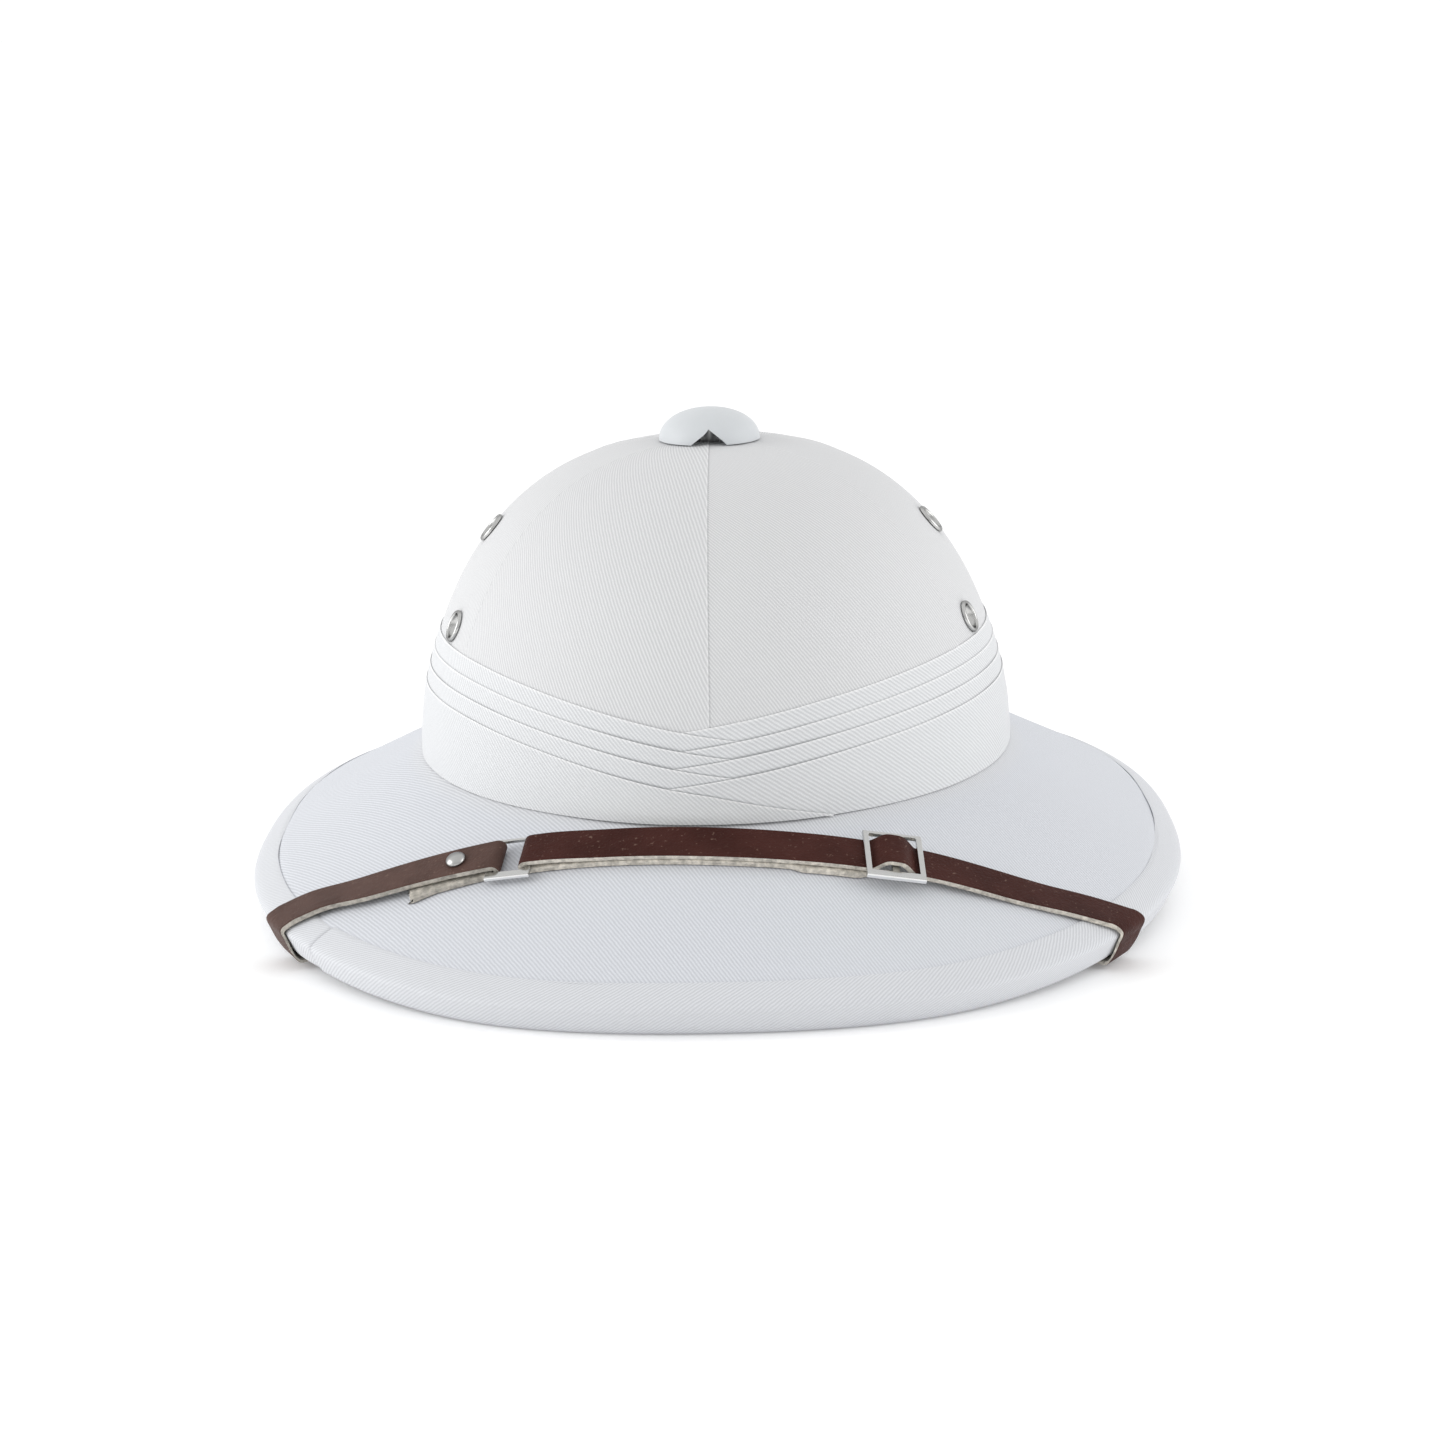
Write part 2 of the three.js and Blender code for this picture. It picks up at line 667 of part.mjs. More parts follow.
/** Sections round the brim's edge and under the brim to the anchor, from the outside in. */
function strapUnder(end) {
  const distance = end < 0 ? strapRoute.start : strapRoute.end;
  const turns = strapFrame(distance).edges.map(({ point }) => brimPlace(point.x, point.y).turn);
  const outward = (turn) => planPoint(turn, 1, -1).sub(planPoint(turn, 1)).normalize();
  const lift = underGap + strapThickness / 2;
  const corner = (key, out, up) => {
    const edges = turns.map((turn) => {
      const normal = outward(turn).multiplyScalar(out).add(new THREE.Vector3(0, 0, up)).normalize();
      return { point: edgeSection(turn, 0)[key], normal };
    });
    return strapSection(edges, lift, edges.map(({ normal }) => normal.clone().multiplyScalar(Math.sign(end))));
  };
  const heel = turns.map((turn) => edgeSection(turn, 0).heel);
  const heelMiddle = heel[0].clone().lerp(heel[1], 0.5);
  const anchor = anchorPlace(end);
  const heading = anchor.point.clone().sub(heelMiddle).projectOnPlane(anchor.normal).normalize();
  const across = anchor.normal.clone().cross(heading).normalize();
  const onAnchor = (along) => {
    const edges = [1, -1].map((side) => ({
      point: anchor.point.clone().addScaledVector(across, Math.sign(end) * side * strapWidth / 2)
        .addScaledVector(heading, along),
      normal: anchor.normal,
    }));
    const facing = anchor.normal.clone().multiplyScalar(Math.sign(end));
    return strapSection(edges, lift, [facing, facing]);
  };
  return [
    corner('nearRidge', 0.45, 0.9),
    corner('ridge', 0.85, 0.5),
    corner('face', 1, -0.2),
    corner('foot', 0.9, -0.45),
    corner('foot', 0.5, -0.87),
    corner('heel', -0.1, -1),
    corner('heel', -0.6, -0.8),
    onAnchor(-strapAnchorTail),
    onAnchor(strapAnchorTail),
  ];
}

/** Where the strap's hidden end lies flat under the brim; the normal points down. */
function anchorPlace(end) {
  const turn = Math.sign(end) * strapAnchorTurn;
  const top = brimPoint(turn, strapAnchorShare);
  const { normal } = skinAt(top.x, top.y);
  return { point: top.addScaledVector(normal, -brimWall), normal: normal.negate() };
}

const ramp = (from, to, at, value) => mix(value[0], value[1], smooth((at - from) / (to - from)));
const linkFold = (way) => linkAt + way * (linkLength / 2 - linkBar + clearance / 2);

function shortStrapGeometry() {
  const fold = linkFold(-1);
  const offBar = fold - linkBar - 2 * clearance;
  const tongueEnd = fold - tongueLength;
  const under = stretch(tongueEnd, fold, strapStep, (at) => ({
    at, lift: layerOne, slip: tongueSlip * clamp01((fold - at) / tongueLength),
  }));
  const over = (at) => ({
    at,
    lift: ramp(offBar - strapRamp, offBar, at, [layerTwo, linkLift + foldRadius])
      - (layerTwo - layerOne) * smooth((tongueEnd - at) / strapRamp),
  });
  const path = [
    ...under,
    ...foldRound(fold, 1).reverse(),
    over(fold),
    ...stretch(offBar, strapRoute.start + strapWrapFrom, strapStep / 2, over),
  ];
  return sectionSweep([...strapRun(path), ...strapUnder(-1)]);
}

function longStrapGeometry() {
  const fold = linkFold(1);
  const offBar = fold + linkBar + 2 * clearance;
  const centre = buckleAt;
  const underEnd = centre - buckleLength / 4;
  const buckleTop = layerTwo + strapThickness / 2 + strapSeat + buckleThickness;
  const hump = buckleTop + clearance + strapThickness / 2 - layerTwo;
  const humpFlat = buckleBar / 2 + clearance;
  const humpRun = buckleLength / 2 - buckleBar - humpFlat;
  const clearOf = centre + buckleLength / 2 + clearance;
  const under = stretch(underEnd, fold, strapStep, (at) => ({
    at, lift: layerOne, slip: tabSlip * clamp01((at - underEnd + tabSlipLength) / tabSlipLength),
  }));
  const over = (at) => ({
    at,
    lift: ramp(offBar, offBar + strapRamp, at, [linkLift + foldRadius, layerTwo])
      + hump * smooth(1 - (Math.abs(at - centre) - humpFlat) / humpRun)
      - (layerTwo - layerOne) * smooth((at - clearOf) / strapRamp),
  });
  const path = [
    ...under,
    ...foldRound(fold, -1).reverse(),
    over(fold),
    ...stretch(offBar, centre - buckleLength / 2, strapStep / 2, over),
    ...stretch(centre - buckleLength / 2 + strapStep / 6, clearOf, strapStep / 4, over),
    ...stretch(clearOf + strapStep / 6, strapRoute.end - strapWrapFrom, strapStep / 2, over),
  ];
  return sectionSweep([...strapRun(path), ...strapUnder(1)]);
}

/** A flat frame of bars at a place on the strap, its faces `lift` above the skin. */
function frameGeometry(at, lift, length, width, bar, thickness, middleBar) {
  const [x, y] = [length / 2, width / 2];
  const [cornerX, cornerY] = [x - bar / 2, y - bar / 2];
  const outline = new THREE.Shape([
    [-cornerX, -y], [cornerX, -y], [x, -cornerY], [x, cornerY],
    [cornerX, y], [-cornerX, y], [-x, cornerY], [-x, -cornerY],
  ].map(([px, py]) => new THREE.Vector2(px, py)));
  const windows = middleBar ? [-1, 1] : [0];
  const gap = middleBar ? (length - 3 * bar) / 2 : length - 2 * bar;
  const plate = new THREE.ExtrudeGeometry(outline, { depth: thickness, bevelEnabled: false });
  const geometry = cut(plate, windows.map((side) => {
    const window = new THREE.BoxGeometry(gap, width - 2 * bar, 4 * thickness);
    return window.translate(side * (gap + bar) / 2, 0, 0);
  }));
  const { point, normal, direction } = strapFrame(at);
  const across = normal.clone().cross(direction);
  const basis = new THREE.Matrix4().makeBasis(direction, across, normal);
  basis.setPosition(point.clone().addScaledVector(normal, lift));
  return geometry.applyMatrix4(basis);
}

const linkGeometry = () => frameGeometry(
  linkAt, linkLift - linkThickness / 2, linkLength, linkWidth, linkBar, linkThickness, false);
const buckleGeometry = () => frameGeometry(
  buckleAt, layerTwo + strapThickness / 2 + strapSeat, buckleLength, buckleWidth, buckleBar, buckleThickness, true);

/** A low dome on +Z, moved to a point with +Z along a direction. */
function domeAt(radius, height, point, normal) {
  const profile = [[0, 0], [radius, 0], [radius, 0.2 * height], [0.82 * radius, 0.65 * height],
    [0.5 * radius, 0.9 * height], [0, height]];
  const dome = turned(profile, domeSides);
  dome.applyQuaternion(new THREE.Quaternion().setFromUnitVectors(new THREE.Vector3(0, 0, 1), normal));
  return dome.translate(point.x, point.y, point.z);
}

function rivetGeometry() {
  const { point, normal } = strapFrame(linkFold(-1) - rivetFromFold);
  const seat = point.addScaledVector(normal, layerTwo + strapThickness / 2 + clearance);
  return domeAt(rivetRadius, rivetHeight, seat, normal);
}

function anchorGeometry(end) {
  const { point, normal } = anchorPlace(end);
  const seat = point.addScaledVector(normal, underGap + strapThickness + clearance);
  return domeAt(anchorRadius, anchorHeight, seat, normal);
}

const helmet = new THREE.Group();
helmet.name = 'pith_helmet';
helmet.add(named('shell', shellGeometry(), material.twill()));
helmet.add(named('brim_binding', bindingGeometry(), material.twill()));
helmet.add(named('puggaree', wrapGeometry(), material.wrap()));
helmet.add(named('ventilator_cap', capGeometry(), material.cap()));
helmet.add(named('cap_post', postGeometry(), material.steel()));
eyelets.forEach((eyelet) => helmet.add(named(eyelet.name, eyeletGeometry(eyelet), material.steel())));
helmet.add(named('short_strap', shortStrapGeometry(), material.leather()));
helmet.add(named('long_strap', longStrapGeometry(), material.leather()));
helmet.add(named('strap_rivet', rivetGeometry(), material.steel()));
helmet.add(named('strap_link', linkGeometry(), material.steel()));
helmet.add(named('slide_buckle', buckleGeometry(), material.steel()));
helmet.add(named('strap_anchor_left', anchorGeometry(-1), material.steel()));
helmet.add(named('strap_anchor_right', anchorGeometry(1), material.steel()));
export default helmet;
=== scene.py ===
"""A white pith helmet: twill over a stiff shell, a pleated wrap, a bound edge, a ventilator cap, air
eyelets and a leather chin strap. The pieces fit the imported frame, in metres; sizes are in millimetres."""
import math

import bpy
import numpy as np
from mathutils import Matrix, Vector, noise


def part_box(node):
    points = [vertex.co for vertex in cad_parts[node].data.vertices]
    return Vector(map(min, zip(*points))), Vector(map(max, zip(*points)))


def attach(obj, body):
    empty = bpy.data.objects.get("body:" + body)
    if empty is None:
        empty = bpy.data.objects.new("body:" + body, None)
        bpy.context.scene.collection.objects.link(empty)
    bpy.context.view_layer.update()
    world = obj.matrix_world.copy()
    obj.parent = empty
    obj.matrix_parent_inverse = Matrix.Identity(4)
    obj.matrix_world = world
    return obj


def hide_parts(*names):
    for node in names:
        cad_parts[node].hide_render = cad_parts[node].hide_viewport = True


bl_info = {
    "name": "Pith helmet",
    "version": (1, 0, 0),
    "blender": (4, 5, 0),
    "location": "View3D > Sidebar > Helmet",
    "description": "Models a white sun helmet with a pleated wrap and a leather chin strap",
    "category": "Add Mesh",
}

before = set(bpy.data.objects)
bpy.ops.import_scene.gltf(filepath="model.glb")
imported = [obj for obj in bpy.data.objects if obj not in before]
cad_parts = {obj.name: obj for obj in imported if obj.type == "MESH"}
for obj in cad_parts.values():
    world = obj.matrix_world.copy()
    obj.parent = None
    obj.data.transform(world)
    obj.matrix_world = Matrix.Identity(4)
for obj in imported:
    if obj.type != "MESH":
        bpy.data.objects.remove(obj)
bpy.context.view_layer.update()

MM = 0.001
CLEARANCE = 0.3
FAR = 9.0
EYELETS = [("upper", 84.5, 69.0), ("lower", 69.2, 43.6), ("rear", 110.8, 43.6)]


def size(label, description, default):
    return bpy.props.FloatProperty(
        name=label, description=description + ", in millimetres", default=default, min=0)


def colour(label, description, default):
    return bpy.props.FloatVectorProperty(
        name=label, description=description, default=default, size=3, subtype="COLOR", min=0, max=1)


class HelmetShell(bpy.types.PropertyGroup):
    half_width: size("Half width", "Crown's half width at its base", 92.5)
    half_length: size("Half length", "Crown's half length at its base", 109)
    height: size("Height", "Crown's height over the brim", 94.7)
    base: size("Base height", "Height of the crown's base over the rest plane", 43.4)
    wall: size("Wall", "Thickness of the shell", 3.5)
    seam_rise: size("Seam rise", "How far a lapped seam stands proud", 0.26)
    air_hole: size("Air hole", "Radius of the hole under the cap", 8)
    rim_half_width: size("Rim half width", "Brim's half width over its binding", 146)
    rim_half_length: size("Rim half length", "Brim's half length over its binding", 174)
    edge_height: size("Edge height", "Height of the turned-down edge", 9.2)
    side_arch: size("Side arch", "How far the brim rises at the sides", 4)
    binding_width: size("Binding width", "Width of the bound strip on top of the brim", 9.7)
    cloth: colour("Cloth", "White cotton twill", (0.73, 0.735, 0.743))
    brim_cloth: colour("Brim cloth", "Cooler white of the brim", (0.70, 0.72, 0.763))


class HelmetWrap(bpy.types.PropertyGroup):
    height: size("Height", "Height of the wrap at the sides and back", 38.4)
    spacing: size("Pleat spacing", "Distance between two pleats", 5.2)
    fold: size("Fold", "How far a pleat's folded edge stands out", 0.25)
    cross_fold: size("Crossing fold", "The same at the crossing", 0.42)
    groove: size("Groove", "How far a pleat sinks above the fold that covers it", 0.2)
    sheet: size("Sheet", "Thickness of the cloth of one pleat", 0.3)
    layer: size("Layer", "How far each further pleat stands out", 0.1)
    cross_layer: size("Crossing layer", "How far each further pleat stands out at the crossing", 0.27)
    tuck: size("Tuck", "How far a pleat reaches under the next one", 0.9)
    cloth: colour("Cloth", "White cotton twill", (0.755, 0.767, 0.78))


class HelmetStrap(bpy.types.PropertyGroup):
    width: size("Width", "Width of the leather strap", 12)
    thickness: size("Thickness", "Thickness of the leather", 1.7)
    grain: colour("Grain", "Reddish-brown grain side", (0.035, 0.0078, 0.005))
    worn_grain: colour("Worn grain", "Greyer grain of the short piece", (0.066, 0.036, 0.029))
    flesh: colour("Flesh", "Pale rough flesh side and cut edges", (0.64, 0.60, 0.53))


class HelmetMetal(bpy.types.PropertyGroup):
    cap_radius: size("Cap radius", "Radius of the ventilator cap", 15.8)
    cap_height: size("Cap height", "Height of the ventilator cap", 9.8)
    cap_wall: size("Cap wall", "Thickness of the cap", 1.5)
    eyelet_radius: size("Eyelet radius", "Outer radius of an eyelet", 5.1)
    eyelet_hole: size("Eyelet hole", "Radius of an eyelet's hole", 2.9)
    eyelet_roll: size("Eyelet roll", "Width of an eyelet's rolled edge", 1.3)
    silver: colour("Silver", "Plated fittings", (0.60, 0.60, 0.59))
    paint: colour("Paint", "White paint of the cap", (0.60, 0.622, 0.64))


GROUPS = {"shell": HelmetShell, "wrap": HelmetWrap, "strap": HelmetStrap, "metal": HelmetMetal}


def sizes(group):
    return getattr(bpy.context.scene, "helmet_" + group)


# Shape of the shell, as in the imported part


def smooth(t):
    t = np.clip(t, 0.0, 1.0)
    return t * t * (3 - 2 * t)


def mix(a, b, t):
    return a + (b - a) * t


def signed_power(v, p):
    return np.sign(v) * np.abs(v) ** p


SIDE_POWER = 2.65
TOP_POWER = 1.9
RIM_POWER = 2.37
RESTING_ARC = 18
EDGE_INSET = 4.6
RIDGE_INSET = 0.5
RIDGE_DROP = 0.9
RIDGE_ROUND = 2.2
LIP_WALL = 3.4
BINDING = 0.9
BINDING_RETURN = 6.0
BINDING_LIFT = BINDING + CLEARANCE


def rim_lift(turn):
    s = sizes("shell")
    start = math.sin(math.radians(RESTING_ARC))
    return s.side_arch * smooth((np.abs(np.sin(np.radians(turn))) - start) / (1 - start))


def plan_point(turn, share, inset=0.0):
    """Plan position on the curve between the crown's base (share 0) and the rim (share 1)."""
    s = sizes("shell")
    power = 2 / mix(2, RIM_POWER, share)
    a = mix(s.half_width, s.rim_half_width, share)
    b = mix(s.half_length, s.rim_half_length, share)

    def at(deg):
        x = a * signed_power(np.sin(np.radians(deg)), power)
        y = -b * signed_power(np.cos(np.radians(deg)), power)
        return np.stack([x, y], axis=-1)

    point = at(np.asarray(turn, float))
    along = at(np.asarray(turn, float) + 0.01) - at(np.asarray(turn, float) - 0.01)
    along /= np.linalg.norm(along, axis=-1, keepdims=True)
    inward = np.stack([-along[..., 1], along[..., 0]], axis=-1)
    return point + inward * np.asarray(inset)[..., None]


def brim_height(turn, share):
    s = sizes("shell")
    return mix(s.base, s.edge_height + rim_lift(turn), share)


def brim_point(turn, share, lift=0.0):
    plan = plan_point(turn, share)
    return np.concatenate([plan, (brim_height(turn, share) + lift)[..., None]], axis=-1)


def brim_place(x, y):
    """Turn and share of the brim under a plan position."""
    s = sizes("shell")
    low = np.full(np.shape(x), -0.3)
    high = np.full(np.shape(x), 1.2)
    for _ in range(30):
        share = (low + high) / 2
        power = mix(2, RIM_POWER, share)
        reach = (np.abs(x / mix(s.half_width, s.rim_half_width, share)) ** power
                 + np.abs(y / mix(s.half_length, s.rim_half_length, share)) ** power)
        outside = reach > 1
        low = np.where(outside, share, low)
        high = np.where(outside, high, share)
    power = mix(2, RIM_POWER, low)
    u = np.abs(x / mix(s.half_width, s.rim_half_width, low)) ** power
    v = np.abs(y / mix(s.half_length, s.rim_half_length, low)) ** power
    turn = np.degrees(np.arctan2(np.sign(x) * np.sqrt(u), -np.sign(y) * np.sqrt(v)))
    return turn, low


def crown_point(turn, height, out=0.0, wall=0.0):
    s = sizes("shell")
    full = s.height - wall
    scale = (1 - np.clip(np.asarray(height) / full, 0, 1) ** TOP_POWER) ** (1 / SIDE_POWER)
    turn = np.radians(turn)
    x = ((s.half_width - wall) * scale + out) * np.sin(turn)
    y = -((s.half_length - wall) * scale + out) * np.cos(turn)
    return np.stack(np.broadcast_arrays(x, y, s.base + height), axis=-1)


def crown_normal(points):
    """Unit normals of the crown at points on it."""
    s = sizes("shell")
    x, y, z = points[..., 0], points[..., 1], np.maximum(points[..., 2] - s.base, 1e-3)
    rho = np.sqrt((x / s.half_width) ** 2 + (y / s.half_length) ** 2)
    side = SIDE_POWER * rho ** (SIDE_POWER - 2)
    top = TOP_POWER * z ** (TOP_POWER - 1) / s.height ** TOP_POWER
    normal = np.stack([side * x / s.half_width ** 2, side * y / s.half_length ** 2, top], axis=-1)
    return normal / np.linalg.norm(normal, axis=-1, keepdims=True)


def edge_rows(turn, depth):
    """Points of the brim's edge, each an (inset, height) pair, set back by depth all round."""
    s = sizes("shell")
    lift = rim_lift(turn)
    ridge = s.edge_height + lift
    run = np.linalg.norm(plan_point(turn, 1.0) - plan_point(turn, 0.98), axis=-1)
    slope = (brim_height(turn, 1.0) - brim_height(turn, 0.98)) / run
    along = 1 / np.hypot(1, slope)
    land = LIP_WALL + 2 * BINDING_LIFT

    def on_top(back):
        return back * along, ridge - back * along * slope - depth / along

    return {
        "inner": on_top(s.binding_width),
        "near_ridge": on_top(RIDGE_ROUND + depth * 0.6),
        "ridge": (RIDGE_INSET + depth * 1.1 + 0 * ridge, ridge - RIDGE_DROP - depth * 0.2),
        "face": (EDGE_INSET * 0.3 + depth + 0 * ridge, ridge - s.edge_height * 0.3),
        "foot": (EDGE_INSET + depth + 0 * ridge, lift + depth),
        "sole": (EDGE_INSET + land / 2 + 0 * ridge, lift + depth),
        "heel": (EDGE_INSET + land - depth + 0 * ridge, lift + depth),
        "under": (EDGE_INSET + land - depth + 0 * ridge, lift + BINDING_RETURN),
    }


def edge_point(turn, pair):
    plan = plan_point(turn, 1.0, pair[0])
    return np.concatenate([plan, np.asarray(pair[1])[..., None]], axis=-1)


# Making of meshes


def deselect():
    if bpy.context.object and bpy.context.object.mode != "OBJECT":
        bpy.ops.object.mode_set(mode="OBJECT")
    bpy.ops.object.select_all(action="DESELECT")


def activate(obj):
    deselect()
    obj.select_set(True)
    bpy.context.view_layer.objects.active = obj
    return obj


def in_edit(obj, work):
    activate(obj)
    bpy.ops.object.mode_set(mode="EDIT")
    bpy.ops.mesh.select_all(action="SELECT")
    work()
    bpy.ops.object.mode_set(mode="OBJECT")
    return obj


def grid_piece(name, points, close_columns=False, close_rows=False, weave=None, angle=40, marks=None):
    """A grid primitive whose points are moved to points[column][row] (mm), its ends merged where asked.
    weave(column, row, i, j) gives the cloth's coordinates (mm) at corner i, j of a face; marks[column][row]
    holds the distances (mm) below the piece's own fold and above the fold that covers it."""
    if close_columns:
        points = np.concatenate([points, points[:1]], axis=0)
    if close_rows:
        points = np.concatenate([points, points[:, :1]], axis=1)
    columns, rows = points.shape[0] - 1, points.shape[1] - 1
    deselect()
    bpy.ops.mesh.primitive_grid_add(x_subdivisions=columns, y_subdivisions=rows, size=2)
    obj = bpy.context.object
    obj.name = name
    mesh = obj.data
    mesh.name = name
    flat = np.zeros(len(mesh.vertices) * 3)
    mesh.vertices.foreach_get("co", flat)
    flat = flat.reshape(-1, 3)
    i = np.rint((flat[:, 0] + 1) / 2 * columns).astype(int)
    j = np.rint((flat[:, 1] + 1) / 2 * rows).astype(int)
    if weave is not None:
        loops = np.zeros(len(mesh.loops), int)
        mesh.loops.foreach_get("vertex_index", loops)
        li, lj = i[loops].reshape(-1, 4), j[loops].reshape(-1, 4)
        column = np.repeat(li.min(1)[:, None], 4, 1)
        row = np.repeat(lj.min(1)[:, None], 4, 1)
        uv = np.stack(weave(column, row, li, lj), axis=-1)
        layer = mesh.uv_layers[0]
        layer.name = "weave"
        layer.data.foreach_set("uv", uv.reshape(-1))
    if marks is not None:
        fold = marks[i % marks.shape[0], j % marks.shape[1]]
        layer = mesh.attributes.new("fold", "FLOAT_VECTOR", "POINT")
        layer.data.foreach_set("vector", np.pad(fold, ((0, 0), (0, 1))).reshape(-1))
    mesh.vertices.foreach_set("co", (points[i, j] * MM).reshape(-1))
    mesh.update()

    def close():
        bpy.ops.mesh.remove_doubles(threshold=1e-6)
        bpy.ops.mesh.normals_make_consistent(inside=False)

    in_edit(obj, close)
    bpy.ops.object.shade_smooth_by_angle(angle=math.radians(angle))
    return obj


def cap_ends(obj):
    """Fills the two open ends of a swept piece."""
    def fill():
        bpy.ops.mesh.select_all(action="DESELECT")
        bpy.ops.mesh.select_mode(type="EDGE")
        bpy.ops.mesh.select_non_manifold()
        bpy.ops.mesh.edge_face_add()
        bpy.ops.mesh.select_all(action="SELECT")
        bpy.ops.mesh.normals_make_consistent(inside=False)
    return in_edit(obj, fill)


def spun(name, profile, sides, closed=False):
    """A ring or disc spun about +Z from (radius, height) pairs in mm."""
    turns = np.radians(np.arange(sides) * 360 / sides)
    profile = np.array(profile, float)
    points = np.stack([
        np.outer(np.cos(turns), profile[:, 0]),
        np.outer(np.sin(turns), profile[:, 0]),
        np.tile(profile[:, 1], (sides, 1))], axis=-1)
    return grid_piece(name, points, close_columns=True, close_rows=closed)


def place(obj, matrix):
    obj.data.transform(matrix)
    obj.data.update()
    return obj


def on_normal(point, normal, spin=0.0):
    """The matrix that moves a piece from the origin to a point (mm), with +Z along the normal."""
    turn = Vector((0, 0, 1)).rotation_difference(Vector(normal)).to_matrix().to_4x4()
    return Matrix.Translation(Vector(point) * MM) @ turn @ Matrix.Rotation(spin, 4, "Z")


def bevel(obj, width, segments=2, angle=35):
    activate(obj)
    mod = obj.modifiers.new("Bevel", "BEVEL")
    mod.width = width * MM
    mod.segments = segments
    mod.limit_method = "ANGLE"
    mod.angle_limit = math.radians(angle)
    bpy.ops.object.modifier_apply(modifier=mod.name)
    bpy.ops.object.shade_smooth_by_angle(angle=math.radians(30))
    return obj


def cut_with(obj, cutters):
    """Cuts pieces out of a piece and deletes them."""
    for cutter in cutters:
        activate(obj)
        mod = obj.modifiers.new("Cut", "BOOLEAN")
        mod.operation = "DIFFERENCE"
        mod.solver = "EXACT"
        mod.object = cutter
        bpy.ops.object.modifier_apply(modifier=mod.name)
        activate(cutter)
        bpy.ops.object.delete()
    activate(obj)
    bpy.ops.object.shade_smooth_by_angle(angle=math.radians(40))
    return obj


def finish_piece(obj, slot, material, *nodes):
    obj.data.materials.clear()
    obj.data.materials.append(material)
    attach(obj, "root")
    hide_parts(*nodes)
    return obj


# Materials


def node_tree(name):
    material = bpy.data.materials.new(name)
    material.use_nodes = True
    tree = material.node_tree
    shader = tree.nodes["Principled BSDF"]
    return material, tree, shader


def add(tree, kind, **values):
    node = tree.nodes.new(kind)
    for key, value in values.items():
        if key in node.inputs:
            node.inputs[key].default_value = value
        else:
            setattr(node, key, value)
    return node


def math_node(tree, operation, first, second=None, third=None, clamp=False):
    node = add(tree, "ShaderNodeMath", operation=operation, use_clamp=clamp)
    for socket, value in zip(node.inputs, (first, second, third)):
        if value is None:
            continue
        if hasattr(value, "is_linked"):
            tree.links.new(value, socket)
        else:
            socket.default_value = value
    return node.outputs[0]


def ramp(tree, factor, low, high):
    """Mixes two colours by a factor."""
    node = add(tree, "ShaderNodeMix", data_type="RGBA")
    tree.links.new(factor, node.inputs["Factor"])
    for name, value in (("A", low), ("B", high)):
        socket = [s for s in node.inputs if s.name == name and s.type == "RGBA"][0]
        if hasattr(value, "is_linked"):
            tree.links.new(value, socket)
        else:
            socket.default_value = (*value, 1)
    return [s for s in node.outputs if s.type == "RGBA"][0]


def noise_factor(tree, where, scale, detail, roughness=0.5):
    node = add(tree, "ShaderNodeTexNoise", Scale=scale, Detail=detail, Roughness=roughness)
    tree.links.new(where, node.inputs["Vector"])
    return node.outputs["Fac"]


def scaled(tree, value, factor, offset, clamp=False):
    return math_node(tree, "MULTIPLY_ADD", value, factor, offset, clamp=clamp)


def bumped(tree, shader, height, strength, depth):
    """Bumps a shader by a height; depth in mm."""
    bump = add(tree, "ShaderNodeBump", Strength=strength, Distance=depth * MM)
    tree.links.new(height, bump.inputs["Height"])
    tree.links.new(bump.outputs[0], shader.inputs["Normal"])


def object_place(tree):
    return add(tree, "ShaderNodeTexCoord").outputs["Object"]


def shaded(base, share):
    return tuple(c * share for c in base)


# Share of the colour left in the valleys between the ribs, a painted shade
TWILL_SHADE = 0.76
TWILL_SWAY = 0.5
FLOAT_PITCH = 0.62
FLOAT_SLANT = 0.5
STAIN = (0.62, 0.62, 0.62)
STAIN_SHARE = 0.12
# Painted highlight along a fold's edge and painted shade just above the fold that covers it: their widths
# (mm) and colours
FOLD_HIGHLIGHT_WIDTH = 0.6
FOLD_HIGHLIGHT_COLOUR = (0.95, 0.95, 0.95)
FOLD_SHADE = 0.7
FOLD_SHADE_COLOUR = (0.3, 0.31, 0.32)
SPECK = (0.24, 0.16, 0.125)
SPECK_SHARE = 0.45


